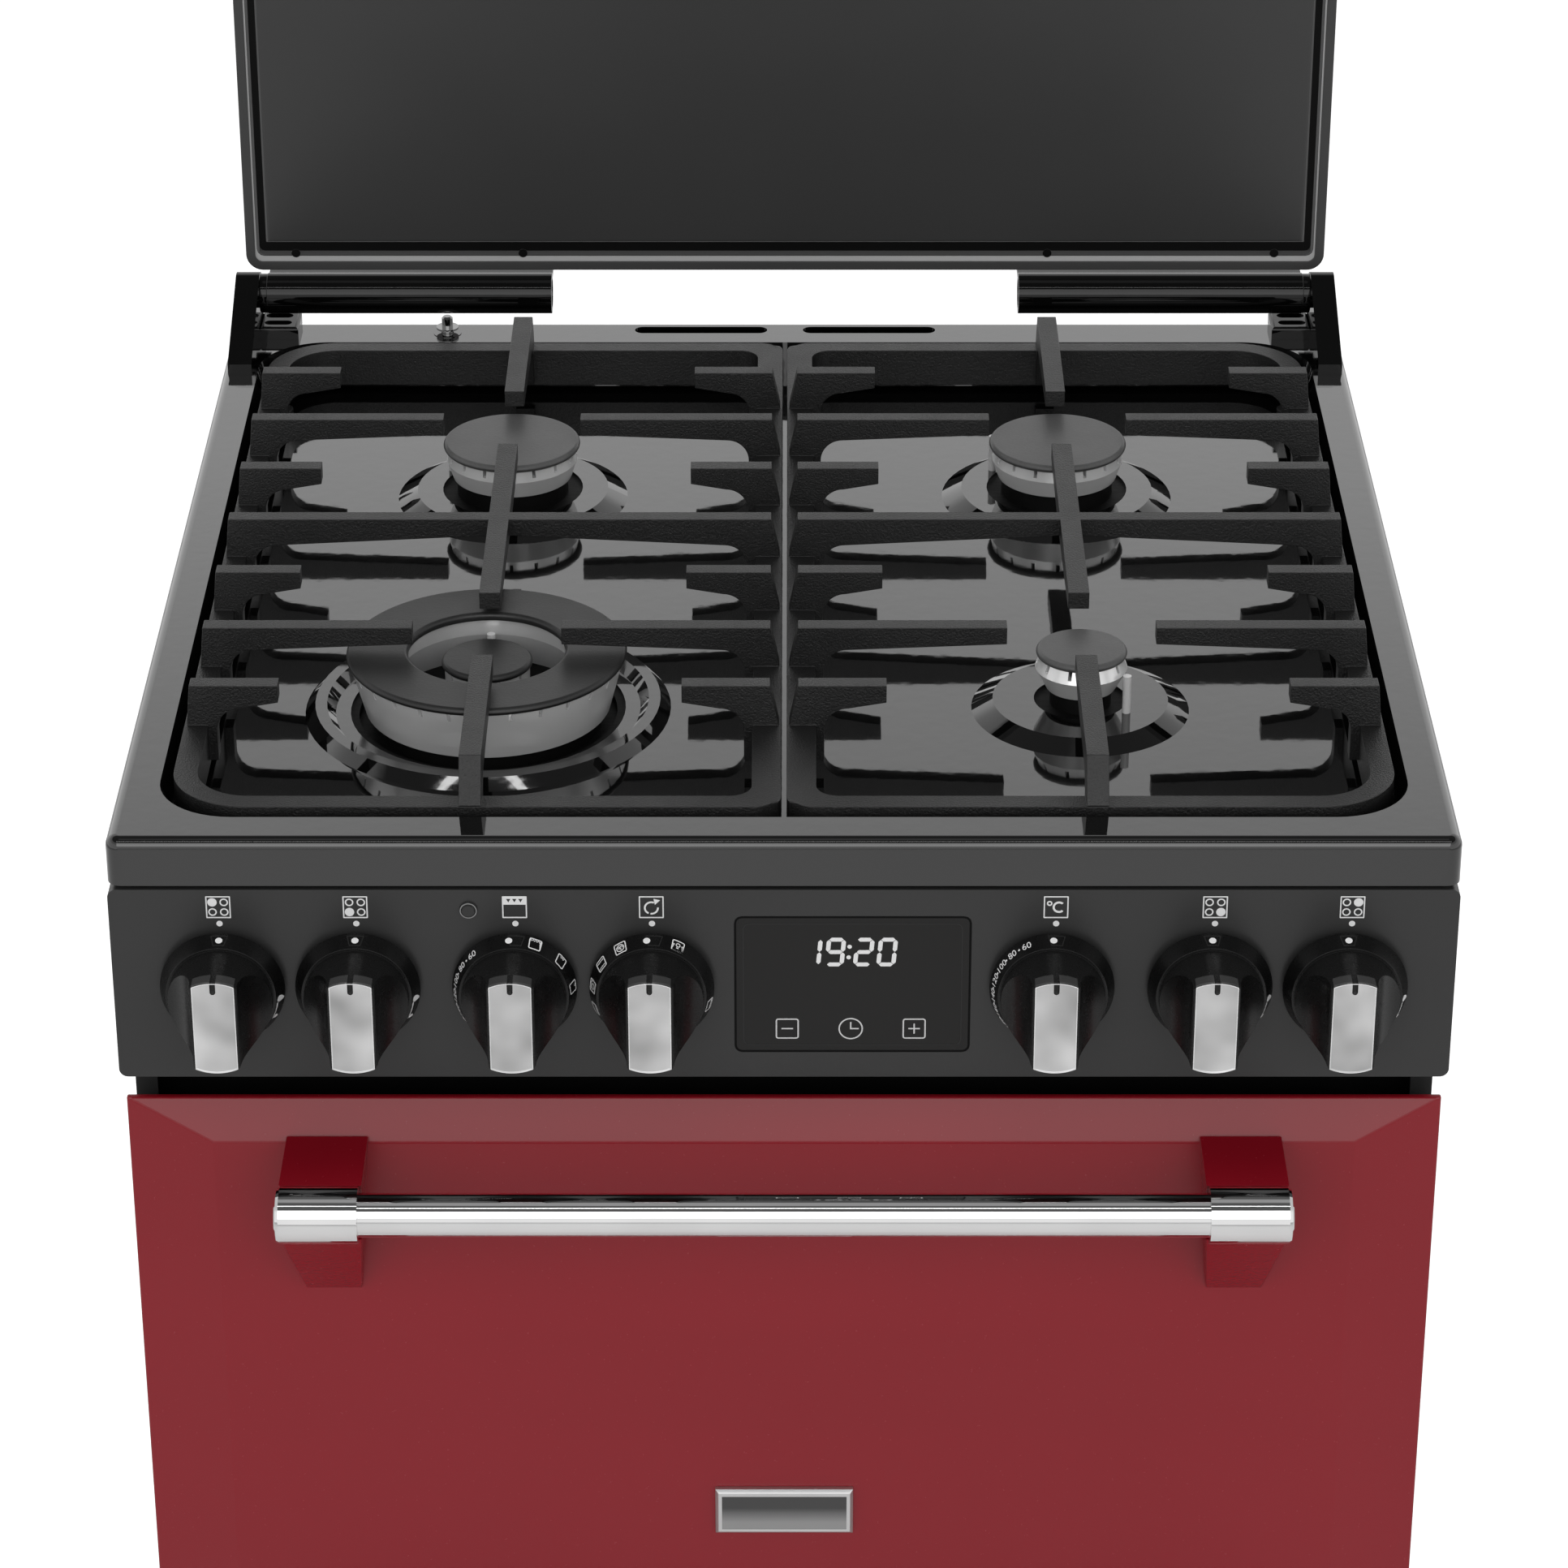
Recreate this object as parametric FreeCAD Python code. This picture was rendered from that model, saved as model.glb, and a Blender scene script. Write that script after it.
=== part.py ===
import FreeCAD, Part
import math
import os

# Free-standing 600 mm cooker with an enamelled gas hob, a fold-down lid, a grill oven
# over a fan oven, and two drop-down doors.  Millimetres; +Z up, the front faces -Y.
# The origin is on the floor, under the middle of the whole cooker with its lid open.

vec = FreeCAD.Vector
right = vec(1, 0, 0)
back = vec(0, 1, 0)
ahead = vec(0, -1, 0)
up = vec(0, 0, 1)

# ---- whole cooker -----------------------------------------------------------------
width = 600.0
hob_depth = 602.0
hob_height = 900.0
sheet = 1.5                   # enamelled and painted steel sheet
skin = 1.2                    # thinner sheet of the sides, back and oven liners

# ---- hob --------------------------------------------------------------------------
hob_lip = 22.8
hob_edge_radius = 5.0
hob_corner_radius = 6.5
well_front = 22.2             # from the hob's front edge
well_rear_margin = 29.4       # from the hob's rear edge
well_side_margin = 19.0
well_depth = 23.0
well_slope = 6.0              # how far the well's walls run in towards the floor
well_corner = 35.0
vent_length = 71.8
vent_width = 9.0
vent_centre_x = 45.6
vent_from_rear = 12.0

# ---- burners ----------------------------------------------------------------------
burner_x = 140.0
burner_front = 177.0          # from the hob's front edge
burner_rear = 421.0
cap_top = 8.8                 # above the hob rim
cap_thickness = 4.0
mound_height = 5.0
crown_wall = 3.0
crown_waist_drop = 1.0        # below the hob rim
cap_dome = 0.6
injector_drop = 42.0          # depth of an injector cup under its flange
cup_flange = 8.0              # flange overlap round the hole
cup_flange_thickness = 3.0
cup_stem_inset = 2.0          # cup's stem inside the crown's foot
cup_base = 0.6                # cup's base, as a share of its stem
electrode_radius = 2.0
electrode_angle = -35.0       # front right burner, from +X
rear_electrode_angle = 145.0
electrode_gap = 1.5           # from the hole's edge or the crown
electrode_rise = 1.0          # above the hob rim
main_hole = 36.0              # main_ sizes are those of the two rear burners
main_plateau = 49.0
main_mound = 59.0
main_crown_foot = 30.5
main_crown_waist = 33.5
main_crown_top = 32.5
main_crown_depth = 10.0
main_cap = 35.0
main_slots = 16
small_hole = 22.0
small_plateau = 41.5
small_mound = 51.5
small_crown_foot = 16.5
small_crown_waist = 21.8
small_crown_top = 19.5
small_crown_depth = 11.0
small_cap = 21.5
small_slots = 10
flame_slot_width = 1.8
flame_slot_depth = 4.0
wok_hole = 65.0
wok_ridge_inner = 72.0
wok_ridge_top_inner = 76.0
wok_ridge_top_outer = 81.5
wok_ridge_outer = 86.4
wok_cap_outer = 66.0
wok_cap_inner = 37.0
wok_crown_top = 64.5
wok_crown_foot = 58.0
wok_crown_bore = 41.0
wok_crown_depth = 20.0
wok_crown_lip = 9.0           # upright part of the crown's bore
wok_crown_flare = 5.0         # how much wider the bore is at its foot
wok_heart_cap = 21.5
wok_heart_crown = 20.0
wok_heart_foot = 16.0
wok_heart_top = 3.6
wok_heart_waist_drop = 12.0
wok_heart_shoulder_drop = 8.0
wok_heart_slots = 10
wok_slots = 28
wok_cup_base = 24.0
wok_cup_stem = 30.0
wok_cup_shoulder = 48.0
wok_cup_bore = 54.0
wok_cup_depth = 12.0
wok_cup_rim = 4.0
wok_electrode_inset = 6.0     # from the bore, towards the heart

# ---- pan supports -----------------------------------------------------------------
grate_top = 22.0              # above the hob rim
grate_side_margin = 24.5      # from the hob's side to the frame
grate_inner_x = 3.5
grate_front = 28.0            # from the hob's front edge
grate_rear_margin = 35.0      # from the hob's rear edge
grate_frame_top = 2.0
grate_frame_bar = 11.0
grate_frame_depth = 20.0
grate_outer_corner = 36.0
grate_inner_corner = 10.0
finger_width = 9.0
finger_pitch = 61.4
finger_tip_depth = 8.5
finger_root_depth = 11.5
finger_leg = 15.0
finger_curve = 11.0
finger_lean = 3.0
finger_base = 2.0             # foot of a finger, above the frame's lower edge
crossbar_extra = 2.5          # how much deeper the middle row's fingers are
short_reach = 43.5
long_reach = 101.0
spine_width = 10.0
spine_tip_gap = 35.0          # from a burner's centre to the tips of its spines
spine_leg_lean = 12.0
spine_curve = 14.0
foot_radius = 6.0
foot_inset = 45.0
foot_margin = 1.5             # foot inside the frame bar's outer face

# ---- fascia -----------------------------------------------------------------------
fascia_gap = 2.0              # under the hob lip
fascia_height = 96.0
fascia_return = 12.0
fascia_corner = 4.0
knob_height = 72.5            # knob axes below the hob rim
outer_knob_margin = 49.4      # from the fascia's end
gas_knob_pitch = 60.4
grill_knob_step = 70.0        # from the front left gas knob
function_knob_step = 61.2     # from the grill knob
temperature_knob_step = 70.5  # from the front right gas knob
spindle_radius = 3.0
spindle_clearance = 0.05
spindle_hole = 6.0
display_left_step = 37.2      # from the oven function knob's axis
display_right_step = 36.5     # from the oven temperature knob's axis
display_centre_drop = 73.0
display_height = 69.0
display_corner = 3.0
display_thickness = 3.0
display_clearance = 0.2
display_flange = 2.0
board_gap = 8.0               # from the window's back to the circuit board
board_thickness = 1.6
board_margin = 4.0
digits_inset = 10.0
post_radius = 2.5
post_inset = 2.0
lamp_step = 19.8              # from the grill knob's axis
lamp_drop = 34.7
lamp_radius = 4.0
lamp_clearance = 0.1
lamp_shoulder = 1.2
lamp_rise = 2.0
lamp_flange = 1.5
lamp_length = 10.0

# ---- knobs ------------------------------------------------------------------------
knob_gap = 3.0                # fascia to skirt, room to push a gas knob in
skirt_radius = 28.0
skirt_front_radius = 24.6
skirt_depth = 9.0
knob_radius = 23.4
knob_front_radius = 22.6
knob_reach = 38.5             # fascia to the grip's face
grip_width = 21.0
grip_length = 45.0
insert_thickness = 1.6
insert_inset = 0.3
hub_length = 6.0              # bore past the skirt
spindle_in_knob = 4.0         # spindle past the skirt
scoop_radius = 27.0
pointer_width = 2.4
pointer_length = 8.0

# ---- taps, switches and gas rail --------------------------------------------------
frame_depth = 43.0            # front frame's face, behind the hob's front edge
tap_front = 14.0
tap_width = 24.0
tap_height = 26.0
tap_bore = 21.0
tap_nose_radius = 9.0
tap_nose_length = 7.0
spindle_in_tap = 16.0
switch_width = 34.0
switch_nose_radius = 5.0
rail_radius = 8.0
rail_clearance = 0.2
rail_end_margin = 26.0        # from the cooker's side
rail_block = 20.0
inlet_radius = 10.48          # half-inch pipe thread
inlet_length = 13.0
supply_radius = 6.0
supply_hole_margin = 1.0

# ---- doors ------------------------------------------------------------------------
door_side_gap = 1.0           # from the door's edge to the cooker's side
door_top_drop = 137.5         # upper door's top edge, below the hob rim
upper_door_share = 138.0      # the doors stand in height as 138 to 193
lower_door_share = 193.0
door_gap = 10.0
door_edge_depth = 10.0        # how far the rim of the door lies behind its face
door_rim = 3.0                # depth of the rim behind the bevels
bevel_side = 39.5
bevel_top = 18.0
liner_side_margin = 37.0      # from the door's edge
liner_depth = 25.5            # behind the liner's flange
liner_drop = 14.0             # liner pan's distance from the door's bottom edge
liner_top_drop = 14.0
liner_fold = 6.0              # radius round the liner's inner face
seal_gap = 0.3
hinge_axis_depth = 16.5       # behind the door's face
hinge_axis_rise = 6.0         # above the door's bottom edge
hinge_pin_radius = 2.5
hinge_ear_margin = 31.0       # from the door's edge
hinge_ear_width = 6.0
hinge_ear_radius = 4.2
hinge_ear_lap = 6.0           # how far an ear laps the liner's pan
hinge_ear_height = 8.0        # above the pan's lower edge
hinge_slot_margin = 2.0       # cut-out in the flange beside an ear
hinge_pin_inset = 0.5
hinge_arm_width = 6.0
hinge_arm_half = 3.0
side_gap = 0.3

# ---- handles ----------------------------------------------------------------------
handle_reach = 50.0           # bar's axis in front of the door's face
handle_bar_radius = 10.0
handle_cap_radius = 13.0
handle_cap_length = 37.0
handle_side_margin = 72.0     # from the door's edge
handle_drop = 25.5            # bar's axis below the door's top edge
bracket_offset = 1.0          # how far the bracket stands in from the cap
bracket_over_axis = 11.0
bracket_foot = 71.0           # from the bar's axis down to the bracket's lowest edge
bracket_taper = 5.6
saddle_clearance = 0.05
badge_width = 65.0
badge_height = 25.0
badge_thickness = 4.0
badge_rise = 56.0             # badge centre above the upper door's bottom edge
badge_frame = 4.0
badge_chamfer = 1.5
badge_recess = 0.8
cap_edge = 2.0

# ---- lid --------------------------------------------------------------------------
lid_side_margin = 8.0         # from the cooker's side
lid_length = 565.0
lid_bottom = 30.0             # above the hob rim, when the lid stands open
lid_behind_hob = 0.0          # open lid's inner rim, behind the hob's rear edge
lid_thickness = 16.0
lid_corner = 9.0
lid_flange = 5.0
lid_inner_recess = 3.5
lid_panel_margin = 12.0
lid_panel_rise = 2.5
lid_edge_radius = 3.0
lid_panel_clearance = 0.2
pivot_from_rear = 12.0
pivot_height = 21.5           # above the hob rim
tube_radius = 11.0
tube_bore = 8.0
tube_length = 153.4
tube_side_margin = 20.6
pivot_radius = 5.0
pivot_clearance = 0.05
tube_plug = 12.0
pin_end_gap = 0.5
web_thickness = 3.5
web_reach = 10.0              # how far the web runs under the lid
arm_side_margin = 3.6
arm_width = 12.7
arm_top_radius = 11.5
arm_foot_length = 73.0
arm_from_rear = 2.0
arm_toe_height = 6.0
collar_radius = 8.0
block_width = 20.7
block_length = 24.0
block_height = 7.0
block_edge_radius = 2.0
block_slot_width = 6.0
block_slot_depth = 2.5
block_slot_front = 7.5        # slot's centre line, from the block's front edge
block_slot_rear = 6.5         # slot's centre line, from the block's rear edge
block_slot_inset = 4.0
plunger_side_margin = 117.0
plunger_from_rear = 16.0
plunger_radius = 3.0
plunger_top = 9.8
plunger_stem = 40.0
plunger_washer = 6.0
plunger_washer_rise = 2.8
plunger_washer_thickness = 1.0
plunger_chamfer = 1.0
plunger_below_valve = 8.0
plunger_guide = 6.5
valve_wall = 3.0
plunger_clearance = 0.05

# ---- body -------------------------------------------------------------------------
side_set_in = 3.5             # side panels, in from the hob's edge
side_front = 25.0             # behind the hob's front edge
side_rear_margin = 4.0
body_bottom = 18.0            # above the floor
side_flange = 10.0
side_under_hob = 1.0          # side panels' top, under the curve of the hob's edge
back_top_drop = 12.0          # back panel's top, under the hob's lip
louvre_rows = 3
louvre_pitch = 22.0
louvre_length = 120.0
louvre_height = 8.0
louvre_x = 120.0
louvre_drop = 52.0
back_set_in = 6.0             # from the hob's rear edge
plinth_setback = 26.0
plinth_gap = 10.0
plinth_height = 61.3
foot_pad_radius = 19.0
foot_pad_height = 7.0
foot_pad_edge = 2.0
foot_pad_slope = 6.0
foot_stud_radius = 5.0
foot_inset_x = 40.0
foot_inset_y = 60.0

# ---- ovens ------------------------------------------------------------------------
cavity_half = 222.0
cavity_depth = 415.0
mouth_radius = 8.0
cavity_over_door_bottom = 46.0
cavity_under_door_top = 52.0
main_cavity_over_door_bottom = 44.0
main_cavity_under_door_top = 42.0
seal_width = 8.0
seal_margin = 2.0             # from the cavity's mouth to the seal
element_radius = 3.25
grill_element_runs = 4
grill_element_drop = 22.0
grill_run_pitch = 60.0
grill_run_front = 70.0        # behind the front frame
grill_run_rear = 40.0         # in front of the cavity's back
grill_bend = 24.0
element_foot = 12.0           # half the distance between the fan element's legs
fan_element_gap = 20.0        # in front of the cavity's back
fan_element_margin = 33.0     # inside the fan cover
fan_margin = 20.0             # inside the fan element
fan_width = 16.0
fan_blades = 12
fan_hub = 14.0
fan_shaft = 4.0
fan_clearance = 0.05
fan_from_rear = 6.0
blade_root = 30.0
blade_thickness = 1.2
shaft_in_hub = 4.0
shaft_in_motor = 24.0
shaft_hole_margin = 1.0
motor_radius = 34.0
motor_length = 42.0
motor_bore = 28.0
motor_foot_lap = 14.0
motor_foot_half = 16.0
motor_foot_thickness = 6.0
fan_cover_depth = 38.0
fan_cover_margin = 25.0       # to the oven's floor and roof
intake_slots = 8
intake_inner = 18.0
intake_margin = 16.0          # inside the fan's edge
intake_half_width = 4.0
outlet_margin = 45.0          # from the cover's side to an outlet's middle
outlet_half_length = 22.0
outlet_half_height = 3.0
outlet_inset = 10.0
shelf_wire = 2.5
shelf_half = 217.0
shelf_front = 14.0            # behind the front frame
shelf_back = 8.0              # in front of the fan cover
shelf_bars = 12
shelf_overhang = 3.75         # side rods past the front and rear rods
shelf_thin_wire = 1.75
shelf_side_inset = 1.0
shelf_bar_rise = 1.0
runner_wire = 2.5
runner_levels = 4
runner_top = 86.0             # from the highest runner to the oven's roof
runner_first = 40.0
runner_front = 20.0           # behind the front frame
runner_rear = 20.0            # in front of the fan cover
post_from_end = 20.0
post_foot = 12.0              # above the oven's floor
post_over_runner = 28.0
runner_lap = 0.5
shelf_levels = (1, 3)
pan_depth = 28.0
pan_half = 200.0
pan_length = 330.0
pan_rise = 60.0
pan_front = 30.0              # behind the front frame
pan_corner = 9.0
pan_rail = 2.0

# ---- places worked out from the sizes ----------------------------------------------
front_reach = handle_reach + handle_cap_radius
lid_plane = hob_depth + lid_behind_hob
rear_reach = lid_plane + lid_thickness
front = (front_reach - rear_reach) / 2        # y of the hob's front edge
rim = hob_height
half = width / 2
rear = front + hob_depth
side_face = half - side_set_in
well_side = half - well_side_margin
well_rear = hob_depth - well_rear_margin
grate_outer_x = half - grate_side_margin
grate_rear = hob_depth - grate_rear_margin
gas_knob_x = {"rear_left": outer_knob_margin - half,
              "front_left": outer_knob_margin + gas_knob_pitch - half,
              "front_right": half - outer_knob_margin - gas_knob_pitch,
              "rear_right": half - outer_knob_margin}
grill_knob_x = gas_knob_x["front_left"] + grill_knob_step
function_knob_x = grill_knob_x + function_knob_step
temperature_knob_x = gas_knob_x["front_right"] - temperature_knob_step
switch_knob_x = {"grill": grill_knob_x, "oven_function": function_knob_x,
                 "oven_temperature": temperature_knob_x}
lamp_x = grill_knob_x - lamp_step
display_left = function_knob_x + display_left_step
display_width = temperature_knob_x - display_right_step - display_left
display_centre_x = display_left + display_width / 2
door_half = half - door_side_gap
handle_cap_outer = door_half - handle_side_margin
handle_cap_inner = handle_cap_outer - handle_cap_length
arm_outer_x = half - arm_side_margin
arm_inner_x = arm_outer_x - arm_width
tube_outer_x = half - tube_side_margin
tube_inner_x = tube_outer_x - tube_length
plunger_x = plunger_side_margin - half
rail_end_x = half - rail_end_margin
fascia_top = rim - hob_lip - fascia_gap
fascia_bottom = fascia_top - fascia_height
knob_z = rim - knob_height
frame_face = front + frame_depth
frame_back = frame_face + sheet
plinth_foot = body_bottom + skin
lower_door_bottom = plinth_foot + plinth_height + plinth_gap
upper_door_top = rim - door_top_drop
door_heights = upper_door_top - door_gap - lower_door_bottom
upper_door_height = door_heights * upper_door_share / (upper_door_share + lower_door_share)
upper_door_bottom = upper_door_top - upper_door_height
lower_door_top = upper_door_bottom - door_gap
inner_side = side_face - skin
well_floor = rim - well_depth
mound_top = well_floor + mound_height
hinge_y = front + hinge_axis_depth
pivot = vec(0, rear - pivot_from_rear, rim + pivot_height)
grill_floor = upper_door_bottom + cavity_over_door_bottom
grill_cavity_height = upper_door_top - cavity_under_door_top - grill_floor
main_floor = lower_door_bottom + main_cavity_over_door_bottom
main_cavity_height = lower_door_top - main_cavity_under_door_top - main_floor
fan_cover_half = main_cavity_height / 2 - fan_cover_margin
fan_element_radius = fan_cover_half - fan_element_margin
fan_radius = fan_element_radius - fan_margin
intake_outer = fan_radius - intake_margin
outlet_x = fan_cover_half - outlet_margin
runner_pitch = (main_cavity_height - runner_first - runner_top) / (runner_levels - 1)
cavity_back = frame_back + cavity_depth
fan_z = main_floor + main_cavity_height / 2
grate_foot = rim + grate_frame_top - grate_frame_depth
grate_middle = front + (grate_front + grate_rear) / 2
plinth_top = plinth_foot + plinth_height
back_y = rear - back_set_in
# each burner: side of the hob, distance from the front, hole, plateau and mound
burners = {"rear_left": (-1, burner_rear, main_hole, main_plateau, main_mound),
           "rear_right": (1, burner_rear, main_hole, main_plateau, main_mound),
           "front_right": (1, burner_front, small_hole, small_plateau, small_mound)}
# each crown and its cap: foot, waist and top radius, depth of the foot, cap, slots, and
# where its electrode stands
main_crown = (main_crown_foot, main_crown_waist, main_crown_top, main_crown_depth, main_cap,
              main_slots, rear_electrode_angle)
small_crown = (small_crown_foot, small_crown_waist, small_crown_top, small_crown_depth,
               small_cap, small_slots, electrode_angle)
crowns_on = {"rear_left": main_crown, "rear_right": main_crown, "front_right": small_crown}
ovens = ((grill_floor, grill_cavity_height), (main_floor, main_cavity_height))
tap_y = front + tap_front
rail_y = front + (tap_front + frame_depth) / 2
rail_z = knob_z - tap_height / 2 - rail_radius - rail_clearance


# ---- shapes ------------------------------------------------------------------------
def block(x0, x1, y0, y1, z0, z1):
    return Part.makeBox(x1 - x0, y1 - y0, z1 - z0, vec(x0, y0, z0))


def rod(radius, start, direction, length):
    return Part.makeCylinder(radius, length, start, direction)


def flat(x, y):
    return vec(x, y, 0)


def upright(x, z):
    return vec(x, 0, z)


def sideways(y, z):
    return vec(0, y, z)


def outline(steps, place):
    """Closed wire: a step is a point to draw a line to, or a middle and an end of an arc."""
    here = place(*steps[0])
    start = here
    edges = []
    for step in steps[1:]:
        if isinstance(step[0], tuple):
            middle, end = place(*step[0]), place(*step[1])
            edges.append(Part.Arc(here, middle, end).toShape())
        else:
            end = place(*step)
            edges.append(Part.LineSegment(here, end).toShape())
        here = end
    if here.distanceToPoint(start) > 1e-6:
        edges.append(Part.LineSegment(here, start).toShape())
    return Part.Wire(edges)


def rounded(u0, u1, v0, v1, radii, place):
    """Rectangle with a radius at each corner, from (u0, v0) round to (u0, v1)."""
    corners = ((u0, v0, 1, 1), (u1, v0, -1, 1), (u1, v1, -1, -1), (u0, v1, 1, -1))
    steps = []
    for turn, ((u, v, inward_u, inward_v), radius) in enumerate(zip(corners, radii)):
        enter = (u, v + inward_v * radius)
        leave = (u + inward_u * radius, v)
        if turn % 2:
            enter, leave = leave, enter
        bulge = radius * (1 - math.sqrt(0.5))
        middle = (u + inward_u * bulge, v + inward_v * bulge)
        steps += [enter, (middle, leave)] if radius else [(u, v)]
    return outline(steps, place)


def prism(wire, travel, start=vec(0, 0, 0)):
    face = Part.Face(wire)
    face.translate(start)
    return face.extrude(travel)


def ring(wires, travel, start=vec(0, 0, 0)):
    face = Part.Face(wires[0]).cut(Part.Face(wires[1]))
    face.translate(start)
    return face.extrude(travel).Solids[0]


def turned(profile, base, forward=False):
    """Solid turned from (radius, height) points; forward lays its axis along -Y."""
    points = [vec(radius, 0, height) for radius, height in profile]
    face = Part.Face(Part.makePolygon(points + [points[0]]))
    solid = face.revolve(vec(0, 0, 0), up, 360)
    if forward:
        solid.rotate(vec(0, 0, 0), right, 90)
    solid.translate(base)
    return solid


def mirrored(shape):
    return shape.mirror(vec(0, 0, 0), right)


def pair(shape):
    return [shape, mirrored(shape)]


def edges_at(shape, test):
    return [edge for edge in shape.Edges if all(test(v.Point) for v in edge.Vertexes)]


def joined(shapes):
    result = shapes[0].multiFuse(shapes[1:]) if len(shapes) > 1 else shapes[0]
    return result.removeSplitter()


nodes = {}


def keep(name, solids):
    solids = solids if isinstance(solids, list) else [solids]
    loose = [solid for shape in solids for solid in shape.Solids]
    nodes[name] = loose[0] if len(loose) == 1 else Part.makeCompound(loose)


# ---- hob ---------------------------------------------------------------------------
def burner_place(side, from_front, height=0.0):
    return vec(side * burner_x, front + from_front, rim + height)


def well_loop(grow, depth):
    run = well_slope * depth / well_depth
    side = well_side - run + grow
    return rounded(-side, side, front + well_front + run - grow,
                   front + well_rear - run + grow, [well_corner - run / 2 + grow] * 4,
                   lambda x, y: vec(x, y, rim - depth))


def make_hob():
    slab = prism(rounded(-half, half, front, rear, [hob_corner_radius] * 4, flat),
                 vec(0, 0, hob_lip), vec(0, 0, rim - hob_lip))
    slab = slab.makeFillet(hob_edge_radius, edges_at(slab, lambda p: p.z > rim - 0.01))
    inset = half - sheet
    hollow = prism(rounded(-inset, inset, front + sheet, rear - sheet,
                           [hob_corner_radius - sheet] * 4, flat),
                   vec(0, 0, hob_lip - sheet), vec(0, 0, rim - hob_lip))
    hollow = hollow.makeFillet(hob_edge_radius - sheet,
                               edges_at(hollow, lambda p: p.z > rim - sheet - 0.01))
    deck = slab.cut(hollow)
    tray = Part.makeLoft([well_loop(sheet, 0), well_loop(sheet, well_depth + sheet)], True, True)
    basin = Part.makeLoft([well_loop(0, 0), well_loop(0, well_depth)], True, True)
    hob = deck.fuse(tray).cut(basin)
    for side, from_front, hole, plateau, mound in burners.values():
        foot = burner_place(side, from_front, -well_depth)
        under = foot - vec(0, 0, sheet)
        slant = (mound - plateau) * sheet / mound_height
        hob = hob.fuse(Part.makeCone(mound, plateau, mound_height, foot))
        hob = hob.cut(Part.makeCone(mound - slant, plateau - slant, mound_height, under))
        hob = hob.cut(rod(hole, under, up, mound_height + 2 * sheet))
    wok = burner_place(-1, burner_front, -well_depth)
    ridge = [(wok_ridge_inner, 0), (wok_ridge_outer, 0),
             (wok_ridge_top_outer, mound_height), (wok_ridge_top_inner, mound_height)]
    groove = [(wok_ridge_inner + 2 * sheet, -sheet), (wok_ridge_outer - sheet, -sheet),
              (wok_ridge_top_outer - sheet / 2, mound_height - sheet),
              (wok_ridge_top_inner + sheet / 2, mound_height - sheet)]
    hob = hob.fuse(turned(ridge, wok)).cut(turned(groove, wok))
    hob = hob.cut(rod(wok_hole, wok - vec(0, 0, 2 * sheet), up, 3 * sheet))
    for x in (-vent_centre_x, vent_centre_x):
        y = rear - vent_from_rear
        slot = rounded(x - vent_length / 2, x + vent_length / 2, y - vent_width / 2,
                       y + vent_width / 2, [vent_width / 2 - 0.01] * 4, flat)
        hob = hob.cut(prism(slot, vec(0, 0, 3 * sheet), vec(0, 0, rim - 2 * sheet)))
    hole = rod(plunger_guide, vec(plunger_x, rear - plunger_from_rear, rim - 2 * sheet),
               up, 3 * sheet)
    keep("hob_top", hob.cut(hole).removeSplitter())


def flame_slots(centre, radius, top, count):
    """Radial notches through the wall of a burner crown, under its cap."""
    cuts = []
    for turn in range(count):
        notch = block(radius - 3 * flame_slot_width, radius + flame_slot_width,
                      -flame_slot_width / 2, flame_slot_width / 2, top - flame_slot_depth, top)
        notch.rotate(vec(0, 0, 0), up, 360 * turn / count)
        notch.translate(vec(centre.x, centre.y, 0))
        cuts.append(notch)
    return cuts


def make_burners():
    crowns, cups, electrodes = [], [], []
    crown_top = cap_top - cap_thickness
    for name, (side, from_front, hole, *_) in burners.items():
        foot, waist, top, depth, cap, slots, angle = crowns_on[name]
        centre = burner_place(side, from_front)
        inside = crown_wall - depth
        crown = turned([(0, -depth), (foot, -depth), (waist, -crown_waist_drop),
                        (top, crown_top), (top - crown_wall, crown_top),
                        (foot - crown_wall, inside), (0, inside)], centre)
        cuts = flame_slots(centre, top, rim + crown_top, slots)
        crowns.append(crown.cut(Part.makeCompound(cuts)))
        edge = cap_thickness / 3
        keep("burner_cap_" + name,
             turned([(0, crown_top), (cap - edge, crown_top), (cap, crown_top + edge),
                     (cap, cap_top - edge), (cap - edge, cap_top),
                     (0, cap_top + cap_dome)], centre))
        under = mound_top - rim - sheet
        stem = foot - cup_stem_inset
        cups.append(turned([(0, under - injector_drop),
                            (stem * cup_base, under - injector_drop),
                            (stem, under - injector_drop / 2),
                            (stem, under - cup_flange_thickness),
                            (hole + cup_flange, under - cup_flange_thickness),
                            (hole + cup_flange, under), (stem, under),
                            (stem, -depth), (0, -depth)], centre))
        turn = math.radians(angle)
        reach = max(hole, waist) + electrode_radius + electrode_gap
        stand = centre + vec(reach * math.cos(turn), reach * math.sin(turn),
                             -well_depth + mound_height)
        electrodes.append(rod(electrode_radius, stand, up,
                              well_depth - mound_height + electrode_rise))
    keep_wok(crowns, cups, electrodes, crown_top)
    keep("burner_crowns", crowns)
    keep("injector_cups", cups)
    keep("spark_electrodes", electrodes)


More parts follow.
